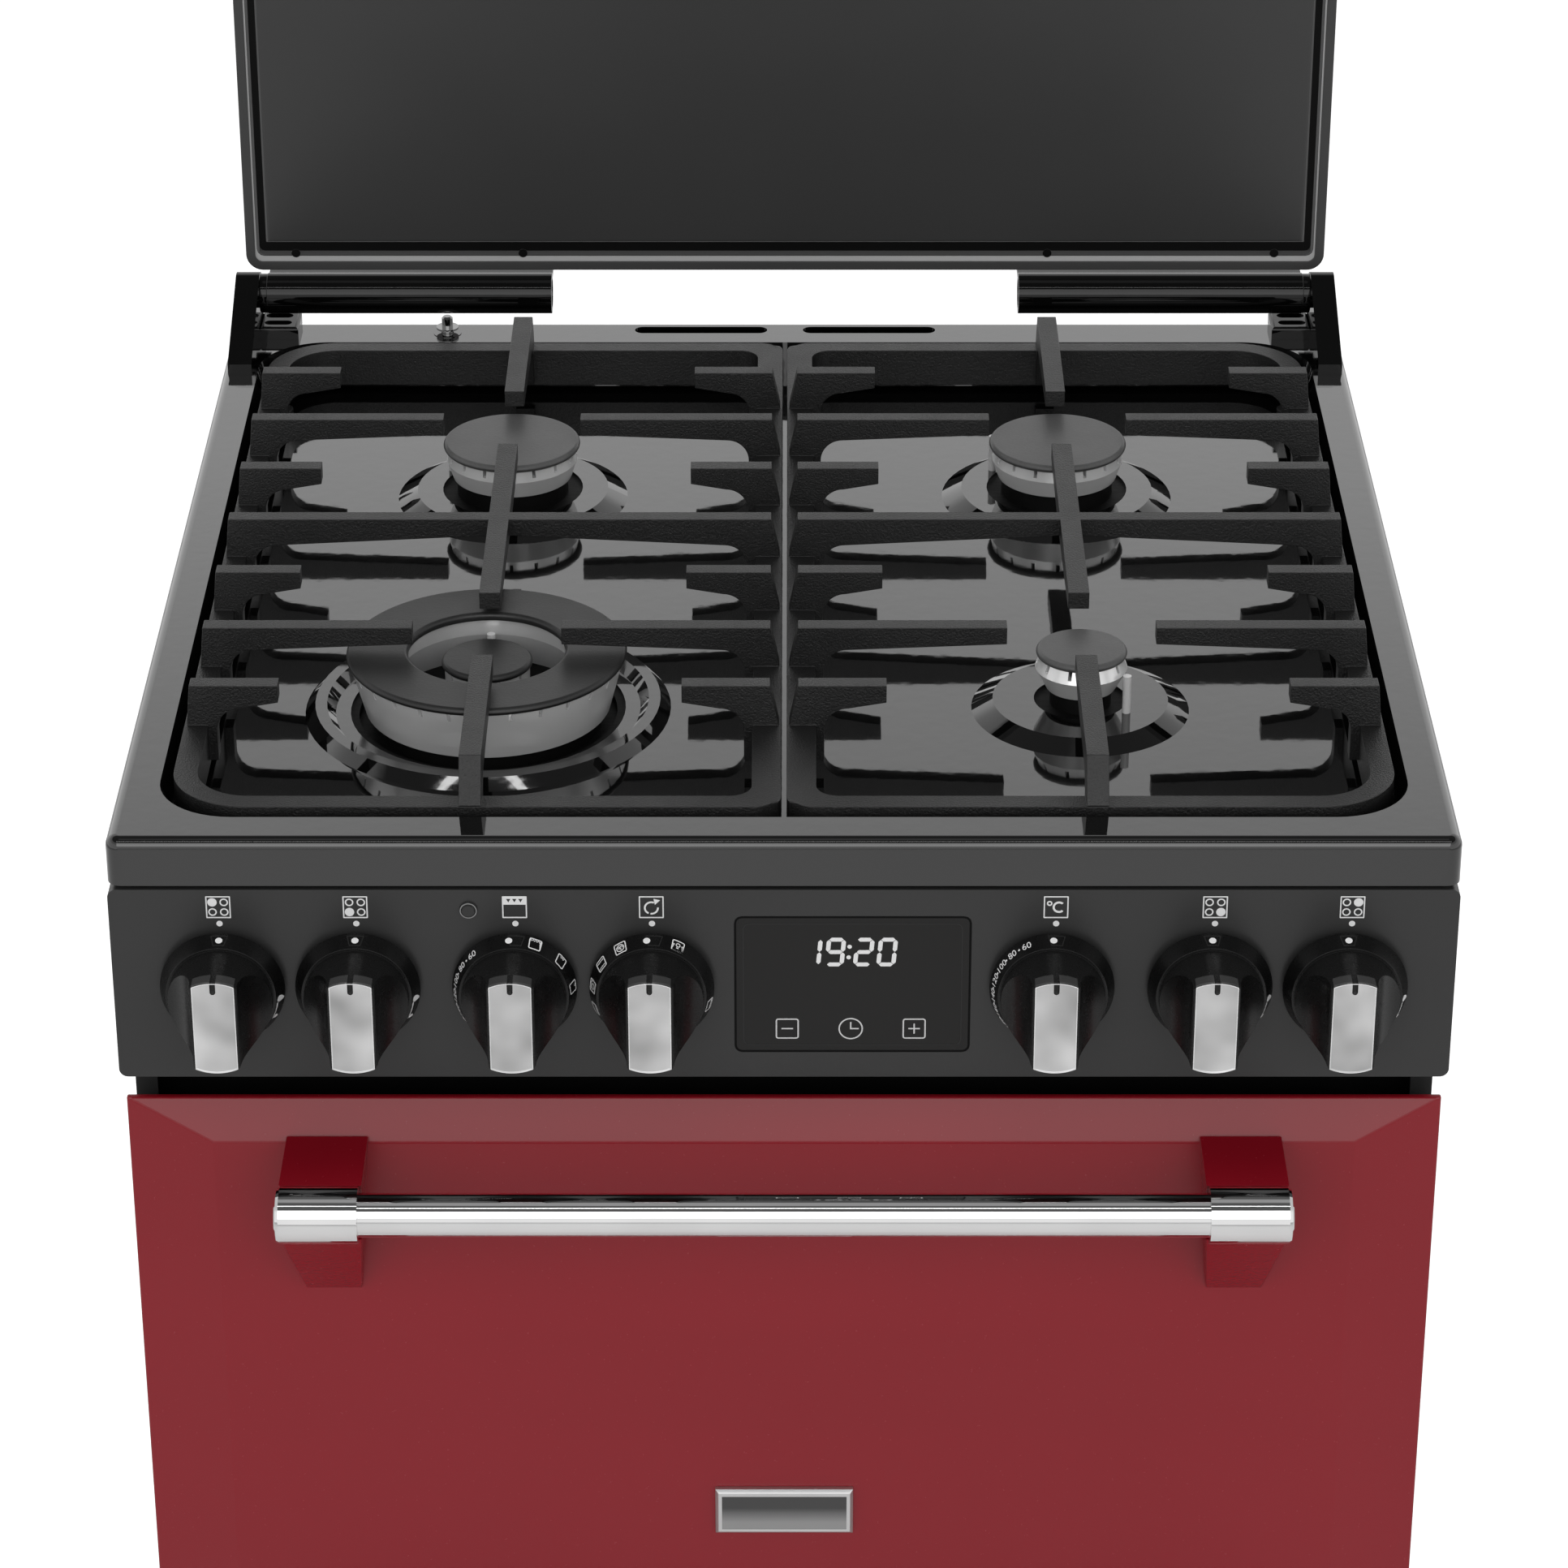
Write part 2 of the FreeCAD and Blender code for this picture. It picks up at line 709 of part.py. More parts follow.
def keep_wok(crowns, cups, electrodes, crown_top):
    """Double-ring burner: a broad outer crown, and a small heart inside it."""
    centre = burner_place(-1, burner_front)
    slope = (wok_crown_top - wok_crown_foot) / (wok_crown_depth + crown_top)
    crown = turned([(wok_crown_foot, -wok_crown_depth), (wok_crown_top, crown_top),
                    (wok_crown_bore, crown_top), (wok_crown_bore, crown_top - wok_crown_lip),
                    (wok_crown_bore + wok_crown_flare, -wok_crown_depth)], centre)
    cuts = flame_slots(centre, wok_crown_top - slope * flame_slot_depth / 2,
                       rim + crown_top, wok_slots)
    crowns.append(crown.cut(Part.makeCompound(cuts)))
    heart_cap_foot = wok_heart_top - cap_thickness
    heart = turned([(0, -wok_crown_depth), (wok_heart_foot, -wok_crown_depth),
                    (wok_heart_foot, -wok_heart_waist_drop),
                    (wok_heart_crown, -wok_heart_shoulder_drop),
                    (wok_heart_crown, heart_cap_foot), (0, heart_cap_foot)], centre)
    cuts = flame_slots(centre, wok_heart_crown, rim + heart_cap_foot, wok_heart_slots)
    crowns.append(heart.cut(Part.makeCompound(cuts)))
    edge = cap_thickness / 3
    outer_cap = turned([(wok_cap_inner, crown_top), (wok_cap_outer - edge, crown_top),
                        (wok_cap_outer, crown_top + edge), (wok_cap_outer, cap_top - edge),
                        (wok_cap_outer - edge, cap_top), (wok_cap_inner + edge, cap_top),
                        (wok_cap_inner, cap_top - edge)], centre)
    heart_cap = turned([(0, heart_cap_foot), (wok_heart_cap - edge, heart_cap_foot),
                        (wok_heart_cap, heart_cap_foot + edge),
                        (wok_heart_cap, wok_heart_top - edge),
                        (wok_heart_cap - edge, wok_heart_top),
                        (0, wok_heart_top + cap_dome)],
                       centre)
    keep("wok_burner_caps", [outer_cap, heart_cap])
    under = -well_depth - sheet
    shelf, lip = under - wok_cup_depth, wok_hole - wok_cup_rim
    cups.append(turned([(0, under - injector_drop), (wok_cup_base, under - injector_drop),
                        (wok_cup_stem, under - injector_drop / 2), (wok_cup_shoulder, shelf),
                        (wok_hole + cup_flange, shelf), (wok_hole + cup_flange, under),
                        (lip, under), (lip, under - wok_cup_rim),
                        (wok_cup_bore, under - wok_cup_rim),
                        (wok_cup_bore, -wok_crown_depth), (0, -wok_crown_depth)], centre))
    stand = centre + vec(0, wok_crown_bore - wok_electrode_inset, -wok_crown_depth)
    electrodes.append(rod(electrode_radius, stand, up, wok_crown_depth - electrode_rise))


# ---- pan supports ------------------------------------------------------------------
def finger(reach, tip_depth, root_depth):
    """Side view of one finger: (distance in from the frame's outer face, height)."""
    top = rim + grate_top
    root = top - root_depth
    curve = finger_curve
    bend = curve * (1 - math.sqrt(0.5))
    return [(finger_lean, top), (reach, top), (reach, top - tip_depth),
            (finger_leg + curve, root),
            ((finger_leg + bend, root - bend), (finger_leg, root - curve)),
            (finger_leg, grate_foot + finger_base), (1.0, grate_foot + finger_base),
            (1.0, rim)]


def make_pan_supports():
    outer, inner = -grate_outer_x, -grate_inner_x
    y0, y1 = front + grate_front, front + grate_rear
    bar = grate_frame_bar
    loops = [rounded(outer, inner, y0, y1, [grate_outer_corner, grate_inner_corner,
                                            grate_inner_corner, grate_outer_corner], flat),
             rounded(outer + bar, inner - bar, y0 + bar, y1 - bar,
                     [grate_outer_corner - bar, grate_inner_corner,
                      grate_inner_corner, grate_outer_corner - bar], flat)]
    parts = [ring(loops, vec(0, 0, grate_frame_depth), vec(0, 0, grate_foot))]
    middle_reach = (inner - outer) / 2 + 1.0
    rows = (short_reach, long_reach, short_reach, middle_reach,
            short_reach, long_reach, short_reach)
    for number, reach in enumerate(rows):
        y = grate_middle + (number - 3) * finger_pitch - finger_width / 2
        root = finger_root_depth + (crossbar_extra if reach == middle_reach else 0)
        steps = finger(reach, finger_tip_depth, root)
        for place in (lambda d, z: vec(outer + d, 0, z), lambda d, z: vec(inner - d, 0, z)):
            parts.append(prism(outline(steps, place), vec(0, finger_width, 0), vec(0, y, 0)))
    spine = vec(-burner_x - spine_width / 2, 0, 0)
    travel = vec(spine_width, 0, 0)
    reach = burner_front - spine_tip_gap - grate_front
    top = rim + grate_top
    steps = [(spine_leg_lean, top), (reach, top), (reach, top - finger_tip_depth),
             (finger_leg + spine_curve, top - finger_root_depth - 2),
             ((finger_leg + spine_curve / 2, top - finger_root_depth - spine_curve / 3),
              (finger_leg + spine_curve / 4, rim)),
             (finger_leg, grate_foot + finger_base), (1, grate_foot + finger_base),
             (1, rim + grate_frame_top)]
    rear_shift = burner_rear - grate_middle + front
    for place in (lambda d, z: vec(0, y0 + d, z), lambda d, z: vec(0, y1 - d, z)):
        parts.append(prism(outline(steps, place), travel, spine))
    cross = rear_shift - spine_tip_gap
    steps = [(-cross, top), (cross, top), (cross, top - finger_tip_depth),
             (finger_width, top - finger_root_depth), (-finger_width, top - finger_root_depth),
             (-cross, top - finger_tip_depth)]
    parts.append(prism(outline(steps, lambda d, z: vec(0, grate_middle + d, z)), travel, spine))
    inset = foot_radius + foot_margin
    for x in (outer + inset, inner - inset):
        for y in (y0 + foot_inset, y1 - foot_inset):
            parts.append(rod(foot_radius, vec(x, y, well_floor), up,
                             grate_foot - well_floor + 1))
    left = joined(parts)
    keep("pan_support_left", left)
    keep("pan_support_right", mirrored(left))


# ---- fascia and controls -----------------------------------------------------------
def display_loop(grow, place=upright):
    return rounded(display_centre_x - display_width / 2 - grow,
                   display_centre_x + display_width / 2 + grow,
                   rim - display_centre_drop - display_height / 2 - grow,
                   rim - display_centre_drop + display_height / 2 + grow,
                   [display_corner + max(grow, -display_corner / 2)] * 4, place)


def knob_places():
    return list(gas_knob_x.values()) + list(switch_knob_x.values())


def make_fascia():
    corner = fascia_corner
    face = rounded(-half, half, fascia_bottom, fascia_top, [corner] * 4, upright)
    shell = prism(face, vec(0, fascia_return, 0), vec(0, front, 0))
    cavity = rounded(-half + sheet, half - sheet, fascia_bottom + sheet, fascia_top - sheet,
                     [corner - sheet] * 4, upright)
    shell = shell.cut(prism(cavity, vec(0, fascia_return, 0), vec(0, front + sheet, 0)))
    reach = side_face - side_flange - side_gap
    shelf = block(-reach, reach, front + sheet, frame_face, fascia_top - sheet, fascia_top)
    shell = shell.fuse(shelf)
    for x in knob_places():
        shell = shell.cut(rod(spindle_hole, vec(x, front - 1, knob_z), back, 4))
    shell = shell.cut(rod(lamp_radius, vec(lamp_x, front - 1, rim - lamp_drop), back, 4))
    opening = prism(display_loop(0), vec(0, 2 * sheet, 0), vec(0, front - sheet / 2, 0))
    keep("fascia_panel", shell.cut(opening).removeSplitter())
    glass = prism(display_loop(-display_clearance), vec(0, sheet, 0), vec(0, front, 0))
    glass = glass.fuse(prism(display_loop(display_flange), vec(0, display_thickness - sheet, 0),
                             vec(0, front + sheet, 0)))
    keep("display_window", glass.removeSplitter())
    board_y = front + display_thickness
    board = prism(display_loop(board_margin), vec(0, board_thickness, 0),
                  vec(0, board_y + board_gap, 0))
    digits = prism(display_loop(-digits_inset), vec(0, board_gap, 0), vec(0, board_y, 0))
    post_y = board_y + board_gap + board_thickness
    posts = []
    for side in (-1, 1):
        for level in (-1, 1):
            x = display_centre_x + side * (display_width / 2 - post_inset)
            z = rim - display_centre_drop + level * (display_height / 2 - post_inset)
            posts.append(rod(post_radius, vec(x, post_y, z), back, frame_face - post_y))
    keep("timer_board", joined([board, digits] + posts))
    lens = lamp_radius - lamp_clearance
    flange = lamp_radius + lamp_flange
    lamp = turned([(0, lamp_rise), (lens - lamp_shoulder, lamp_rise), (lens, 0), (lens, -sheet),
                   (flange, -sheet), (flange, -lamp_length), (0, -lamp_length)],
                  vec(lamp_x, front, rim - lamp_drop), True)
    keep("indicator_lamp", lamp)


def make_knob(x, name):
    """Black moulded knob, with a bright insert let into the face of its grip."""
    hub = knob_gap + skirt_depth + hub_length
    profile = [(skirt_radius - 2, knob_gap), (skirt_radius, knob_gap + 1),
               (skirt_front_radius, knob_gap + skirt_depth),
               (knob_radius, knob_gap + skirt_depth), (knob_front_radius, knob_reach),
               (0, knob_reach), (0, knob_gap)]
    body = turned(profile, vec(x, front, knob_z), True)
    for side in (-1, 1):
        scoop = rod(scoop_radius, vec(x + side * (grip_width / 2 + scoop_radius),
                                      front - knob_reach, knob_z - scoop_radius - skirt_radius),
                    up, 2 * (scoop_radius + skirt_radius))
        body = body.cut(scoop)
    bore = rod(spindle_radius + spindle_clearance, vec(x, front, knob_z), ahead, hub)
    body = body.cut(bore)
    half_insert = grip_width / 2 - insert_inset
    blank = block(x - half_insert, x + half_insert,
                  front - knob_reach - insert_thickness, front - knob_reach,
                  knob_z - grip_length / 2, knob_z + grip_length / 2)
    round_ends = rod(knob_front_radius, vec(x, front - knob_reach, knob_z), ahead,
                     2 * insert_thickness)
    insert = blank.common(round_ends)
    pointer = block(x - pointer_width / 2, x + pointer_width / 2,
                    front - knob_reach - 2 * insert_thickness, front - knob_reach,
                    knob_z + grip_length / 2 - pointer_length, knob_z + grip_length)
    keep("knob_" + name, [body, insert.cut(pointer)])


def make_controls():
    taps, switches = [], []
    spindle_end = knob_gap + skirt_depth + spindle_in_knob
    bore_radius = spindle_radius + spindle_clearance
    for name, x in gas_knob_x.items():
        make_knob(x, name + "_burner")
        body = block(x - tap_width / 2, x + tap_width / 2, tap_y, frame_face,
                     knob_z - tap_height / 2, knob_z + tap_height / 2)
        nose = rod(tap_nose_radius, vec(x, tap_y, knob_z), ahead, tap_nose_length)
        bore = rod(bore_radius, vec(x, tap_y + tap_bore, knob_z), ahead,
                   tap_bore + 2 * tap_nose_length)
        taps.append(joined([body, nose]).cut(bore))
        start = vec(x, tap_y + spindle_in_tap, knob_z)
        stem = rod(spindle_radius, start, ahead, spindle_in_tap + tap_front + spindle_end)
        keep("tap_spindle_" + name, stem)
    for name, x in switch_knob_x.items():
        make_knob(x, name)
        body = block(x - switch_width / 2, x + switch_width / 2, tap_y, frame_face,
                     knob_z - tap_height / 2, knob_z + tap_height / 2)
        nose = rod(switch_nose_radius, vec(x, tap_y, knob_z), ahead, tap_front + sheet)
        shaft = rod(spindle_radius, vec(x, tap_y, knob_z), ahead, tap_front + spindle_end)
        switches.append(joined([body, nose, shaft]))
    keep("gas_taps", taps + [make_plunger()])
    keep("rotary_switches", switches)
    corner = block(rail_end_x - rail_block / 2, rail_end_x + rail_block / 2,
                   rail_y - rail_block / 2, rail_y + rail_block / 2,
                   rail_z - rail_block / 2, rail_z + rail_block / 2)
    rail = [rod(rail_radius, vec(-rail_end_x, rail_y, rail_z), right, 2 * rail_end_x), corner,
            rod(supply_radius, vec(rail_end_x, rail_y, rail_z), back,
                back_y + 2 * skin - rail_y),
            rod(inlet_radius, vec(rail_end_x, back_y + skin, rail_z), back, inlet_length)]
    keep("gas_rail", joined(rail))


# ---- doors -------------------------------------------------------------------------
def door_form(bottom, top, shrink):
    """Raised door front: a flat face with broad bevels down to a narrow rim."""
    side = door_half - shrink
    y_face = front + shrink
    y_edge = front + door_edge_depth + shrink / 2
    y_back = front + door_edge_depth + door_rim
    low, high = bottom + shrink, top - shrink
    inner = side - bevel_side

    def loop(x, z_low, z_high, y):
        return Part.makePolygon([vec(-x, y, z_low), vec(x, y, z_low), vec(x, y, z_high),
                                 vec(-x, y, z_high), vec(-x, y, z_low)])

    bevel = Part.makeLoft([loop(inner, low + bevel_top, high - bevel_top, y_face),
                           loop(side, low, high, y_edge)], True, True)
    rim_block = block(-side, side, y_edge, y_back, low, high)
    return bevel.fuse(rim_block).removeSplitter()


def make_door(name, bottom, top):
    shell = door_form(bottom, top, 0).cut(door_form(bottom, top, sheet))
    keep(name + "_door_skin", shell)
    flange_y = front + door_edge_depth + door_rim
    side = door_half - sheet
    flange = block(-side, side, flange_y, flange_y + sheet, bottom + sheet, top - sheet)
    low, high = bottom + liner_drop, top - liner_top_drop
    pan_front = flange_y + sheet
    across = door_half - liner_side_margin
    pan = block(-across, across, pan_front, pan_front + liner_depth,
                low, high)
    pan = pan.makeFillet(liner_fold, edges_at(pan, lambda p: p.y > pan_front + 1))
    hollow = block(2 * sheet - across, across - 2 * sheet, flange_y,
                   pan_front + liner_depth - sheet, low + 2 * sheet, high - 2 * sheet)
    axis_z = bottom + hinge_axis_rise
    liner = flange.fuse(pan).cut(hollow)
    ear_x = door_half - hinge_ear_margin
    near, far = ear_x - hinge_ear_lap, ear_x + hinge_ear_width
    ear_top = low + hinge_ear_height
    stem = block(near, far, pan_front, hinge_y + hinge_ear_radius, axis_z, ear_top)
    boss = rod(hinge_ear_radius, vec(near, hinge_y, axis_z), right, far - near)
    tab = block(near, far, hinge_y - hinge_ear_radius + 1, pan_front, axis_z, ear_top)
    hole = rod(hinge_pin_radius + spindle_clearance, vec(near - 1, hinge_y, axis_z), right,
               far - near + 2)
    slot = block(near - hinge_slot_margin, door_half, flange_y - 1, pan_front, bottom, low)
    for ear, cuts in zip(pair(joined([stem, boss, tab])), zip(pair(slot), pair(hole))):
        liner = liner.cut(cuts[0]).fuse(ear).cut(cuts[1])
    keep(name + "_door_liner", liner.removeSplitter())
    make_handle(name, top)
    pin = rod(hinge_pin_radius, vec(ear_x + hinge_pin_inset, hinge_y, axis_z),
              right, hinge_ear_width + hinge_arm_width)
    arm_x = ear_x + hinge_ear_width + side_gap
    arm = block(arm_x, arm_x + hinge_arm_width, hinge_y, frame_face,
                axis_z - hinge_arm_half, axis_z + hinge_arm_half)
    nose = rod(hinge_arm_half, vec(arm_x, hinge_y, axis_z), right, hinge_arm_width)
    return pair(joined([pin, arm, nose]))


def make_handle(name, door_top):
    axis_z = door_top - handle_drop
    axis_y = front - handle_reach
    length = handle_cap_outer - handle_cap_inner
    cap = turned([(0, 0), (handle_cap_radius, 0), (handle_cap_radius, length - cap_edge),
                  (handle_cap_radius - cap_edge / 3, length - cap_edge / 3),
                  (handle_cap_radius - cap_edge, length), (0, length)], vec(0, 0, 0))
    cap.rotate(vec(0, 0, 0), back, 90)
    cap.translate(vec(handle_cap_inner, axis_y, axis_z))
    bar = rod(handle_bar_radius, vec(-handle_cap_inner, axis_y, axis_z), right,
              2 * handle_cap_inner)
    keep(name + "_handle_bar", [bar] + pair(cap))
    top = axis_z + bracket_over_axis
    under = axis_z - handle_cap_radius
    foot = axis_z - bracket_foot
    near, far = handle_cap_inner - bracket_offset, handle_cap_outer - bracket_offset
    taper = bracket_taper
    corners = {}
    for side, x, slim in (("near", near, near + taper), ("far", far, far - taper)):
        corners[side] = [vec(x, front, top), vec(x, axis_y, top), vec(x, axis_y, under),
                         vec(slim, front, foot)]
    a, b = corners["near"], corners["far"]
    facets = [(a[0], a[1], a[2]), (a[0], a[2], a[3]), (b[0], b[1], b[2]), (b[0], b[2], b[3]),
              (a[0], a[1], b[1], b[0]), (a[1], a[2], b[2], b[1]), (a[2], a[3], b[3], b[2]),
              (a[3], a[0], b[0], b[3])]
    faces = [Part.Face(Part.makePolygon(list(facet) + [facet[0]])) for facet in facets]
    bracket = Part.Solid(Part.Shell(faces))
    if bracket.Volume < 0:
        bracket.reverse()
    saddle = rod(handle_cap_radius + saddle_clearance, vec(near - 1, axis_y, axis_z), right,
                 far - near + 3)
    keep(name + "_handle_brackets", pair(bracket.cut(saddle)))


def make_badge():
    centre = upper_door_bottom + badge_rise
    plate = block(-badge_width / 2, badge_width / 2, front - badge_thickness, front,
                  centre - badge_height / 2, centre + badge_height / 2)
    face = front - badge_thickness
    plate = plate.makeChamfer(badge_chamfer, edges_at(plate, lambda p: p.y < face + 1))
    across, high = badge_width / 2 - badge_frame, badge_height / 2 - badge_frame
    inset = block(-across, across, face - 1, face + badge_recess, centre - high, centre + high)
    keep("badge_plate", plate.cut(inset))


# ---- lid ---------------------------------------------------------------------------
def lid_loop(inset, radius):
    low = rim + lid_bottom
    side = half - lid_side_margin - inset
    return rounded(-side, side, low + inset,
                   low + lid_length - inset, [radius] * 4, upright)


def make_lid():
    y = front + lid_plane
    tray = prism(lid_loop(0, lid_corner), vec(0, lid_thickness, 0), vec(0, y, 0))
    tray = tray.makeFillet(lid_edge_radius, edges_at(tray, lambda p: p.y > y + lid_thickness - 0.01))
    hollow = prism(lid_loop(skin, lid_corner - skin), vec(0, lid_thickness - skin, 0),
                   vec(0, y, 0))
    lip = ring([lid_loop(skin, lid_corner - skin), lid_loop(lid_flange, lid_corner - lid_flange)],
               vec(0, skin, 0), vec(0, y, 0))
    keep("lid_panel", tray.cut(hollow).fuse(lip).removeSplitter())
    make_lid_inner_panel(y + skin)
    length = tube_outer_x - tube_inner_x
    inner_end = vec(tube_inner_x, pivot.y, pivot.z)
    tube = rod(tube_radius, inner_end, right, length)
    under_lid = rim + lid_bottom
    web = block(tube_inner_x, tube_outer_x, pivot.y, y + web_reach, under_lid - web_thickness,
                under_lid)
    tube = tube.fuse(web)
    tube = tube.cut(rod(tube_bore, inner_end, right, length - tube_plug))
    tube = tube.cut(rod(pivot_radius + pivot_clearance, inner_end, right, length + 1))
    keep("lid_hinge_tubes", pair(tube.removeSplitter()))


def make_lid_inner_panel(y):
    """Thin pressed sheet: a sunk band round the edge, and a raised field in the middle."""
    def slab(inset, corner, y_start, thickness):
        return prism(lid_loop(inset, corner), vec(0, thickness, 0), vec(0, y_start, 0))

    margin, field = lid_panel_margin, 2 * lid_panel_margin
    floor = y + lid_inner_recess
    crest = floor - lid_panel_rise
    edge = skin + lid_panel_clearance
    border = slab(edge, lid_corner - edge, y, skin)
    sink = slab(margin, lid_corner, y, lid_inner_recess + skin)
    sunk = slab(margin + skin, lid_corner - skin, y, lid_inner_recess)
    hat = slab(field, lid_corner, crest, lid_panel_rise + skin)
    under = slab(field + skin, lid_corner - skin, crest + skin, lid_panel_rise)
    sheet_form = joined([border, sink]).cut(sunk).fuse(hat).cut(under)
    keep("lid_inner_panel", sheet_form.removeSplitter())


def make_lid_brackets():
    """Hinge arms that stand on the hob's rear corners and carry the lid's pivot pins."""
    centre_y, centre_z = pivot.y, pivot.z
    arm_length = arm_outer_x - arm_inner_x
    radius = arm_top_radius
    heel = rear - arm_from_rear
    toe = heel - arm_foot_length
    # the front edge leaves the round top on a tangent and runs down to the toe
    nose_y, nose_z = toe, rim + arm_toe_height
    run_y, run_z = centre_y - nose_y, centre_z - nose_z
    distance = math.hypot(run_y, run_z)
    lean = math.asin(radius / distance) + math.atan2(run_z, run_y)
    touch = (centre_y - radius * math.sin(lean), centre_z + radius * math.cos(lean))
    over, behind = math.radians(23), math.radians(80)
    steps = [(toe, rim), (nose_y, nose_z), touch,
             ((centre_y + radius * math.sin(over), centre_z + radius * math.cos(over)),
              (centre_y + radius * math.sin(behind), centre_z + radius * math.cos(behind))),
             (heel, centre_z - radius), (heel, rim)]
    arm = prism(outline(steps, sideways), vec(arm_length, 0, 0), vec(arm_inner_x, 0, 0))
    collar = rod(collar_radius, vec(tube_outer_x + side_gap, centre_y, centre_z), right,
                 arm_inner_x - tube_outer_x - side_gap)
    pin_start = tube_outer_x - tube_plug + pin_end_gap
    pin = rod(pivot_radius, vec(pin_start, centre_y, centre_z), right, arm_inner_x - pin_start)
    block_x, block_y = arm_inner_x - block_width, heel - block_length
    base = block(block_x, arm_inner_x, block_y, heel, rim, rim + block_height)
    base = base.makeFillet(block_edge_radius, edges_at(base, lambda p: p.z > rim + block_height - 0.01))
    slots = []
    across = block_slot_width / 2
    for y in (block_y + block_slot_front, heel - block_slot_rear):
        loop = rounded(block_x + block_slot_inset, arm_inner_x - block_edge_radius,
                       y - across, y + across, [across - 0.01] * 4, flat)
        slots.append(prism(loop, vec(0, 0, 2 * block_slot_depth),
                           vec(0, 0, rim + block_height - block_slot_depth)))
    base = base.cut(Part.makeCompound(slots))
    keep("lid_hinge_brackets", pair(joined([arm, collar, pin, base])))


def make_plunger():
    foot = vec(plunger_x, rear - plunger_from_rear, rim)
    washer_top = plunger_washer_rise + plunger_washer_thickness
    stem = turned([(0, -plunger_stem), (plunger_radius, -plunger_stem),
                   (plunger_radius, plunger_washer_rise), (plunger_washer, plunger_washer_rise),
                   (plunger_washer, washer_top), (plunger_radius, washer_top),
                   (plunger_radius, plunger_top - plunger_chamfer),
                   (plunger_radius - plunger_chamfer, plunger_top), (0, plunger_top)], foot)
    keep("safety_plunger", stem)
    bore, outside = plunger_radius + plunger_clearance, plunger_guide + valve_wall
    low = plunger_below_valve - plunger_stem
    return turned([(bore, low), (outside, low), (outside, -sheet), (bore, -sheet)], foot)


# ---- body --------------------------------------------------------------------------
def make_body():
    y0, y1 = front + side_front, rear - side_rear_margin
    top = rim - hob_edge_radius - side_under_hob
    wall = block(inner_side, side_face, y0, y1, body_bottom, top)
    flange_x = side_face - side_flange
    folds = [block(flange_x, side_face, y0, y1, top - skin, top),
             block(flange_x, flange_x + skin, y0 + side_flange, y1 - side_flange, top - skin,
                   rim - sheet),
             block(flange_x, side_face, y0, y1, body_bottom, body_bottom + skin),
             block(flange_x, side_face, y0, y0 + skin, body_bottom, top)]
    side = joined([wall] + folds)
    keep("side_panel_right", side)
    keep("side_panel_left", mirrored(side))
    low, high = body_bottom + skin, rim - hob_lip - back_top_drop
    panel = block(-inner_side, inner_side, back_y, back_y + skin, low, high)
    for row in range(louvre_rows):
        z = high - louvre_drop - louvre_pitch * row
        slot = block(louvre_x - louvre_length / 2, louvre_x + louvre_length / 2, back_y - 1,
                     back_y + 2 * skin, z - louvre_height, z)
        panel = panel.cut(Part.makeCompound(pair(slot)))
    hole = rod(supply_radius + side_gap, vec(rail_end_x, back_y - 1, rail_z), back, 2 * sheet)
    keep("back_panel", panel.cut(hole))
    keep("base_pan", block(-inner_side, inner_side, frame_back, back_y, low, low + skin))
    plinth_y = front + plinth_setback + skin
    plate = block(-inner_side, inner_side, plinth_y, plinth_y + sheet, low, plinth_top)
    fold = block(-inner_side, inner_side, plinth_y, frame_face, plinth_top - sheet, plinth_top)
    keep("plinth", plate.fuse(fold).removeSplitter())
    feet = []
    for x in (foot_inset_x - inner_side, inner_side - foot_inset_x):
        for y in (frame_back + foot_inset_y, back_y - foot_inset_y):
            feet.append(turned([(0, 0), (foot_pad_radius, 0), (foot_pad_radius, foot_pad_edge),
                                (foot_pad_radius - foot_pad_slope, foot_pad_height),
                                (foot_stud_radius, foot_pad_height),
                                (foot_stud_radius, low), (0, low)], vec(x, y, 0)))
    keep("levelling_feet", feet)


def make_front_frame():
    low = body_bottom + skin
    plate = block(-inner_side, inner_side, frame_face, frame_back, low, fascia_top)
    for floor, height in ovens:
        mouth = rounded(-cavity_half, cavity_half, floor, floor + height, [mouth_radius] * 4,
                        upright)
        plate = plate.cut(prism(mouth, vec(0, 3 * sheet, 0), vec(0, frame_face - sheet, 0)))
    hole = vec(rail_end_x, frame_face - 1, rail_z)
    keep("front_frame",
         plate.cut(rod(supply_radius + supply_hole_margin, hole, back, 3 * sheet)))
    seals = []
    thickness = frame_depth - door_edge_depth - door_rim - sheet - liner_depth - seal_gap
    for floor, height in ovens:
        loops = [rounded(-cavity_half - grow, cavity_half + grow, floor - grow,
                         floor + height + grow, [mouth_radius + grow] * 4, upright)
                 for grow in (seal_width + seal_margin, seal_margin)]
        seals.append(ring(loops, vec(0, thickness, 0), vec(0, frame_face - thickness, 0)))
    keep("oven_seals", seals)


# ---- ovens -------------------------------------------------------------------------
def cavity(floor, height):
    outer = block(-cavity_half - skin, cavity_half + skin, frame_back, cavity_back + skin,
                  floor - skin, floor + height + skin)
    inner = block(-cavity_half, cavity_half, frame_back, cavity_back, floor, floor + height)
    return outer.cut(inner)


def octagon(radius, centre, heading):
    """Closed loop of eight sides square to the heading, as deep as a round wire."""
    side_step = heading.cross(up) if abs(heading.z) < 0.5 else heading.cross(right)
    side_step.normalize()
    rise = heading.cross(side_step)
    reach = radius / math.cos(math.radians(22.5))
    corners = []
    for turn in range(9):
        angle = math.radians(45 * turn + 22.5)
        corners.append(centre + side_step * (reach * math.cos(angle)) +
                       rise * (reach * math.sin(angle)))
    corners[8] = corners[0]
    return Part.makePolygon(corners)


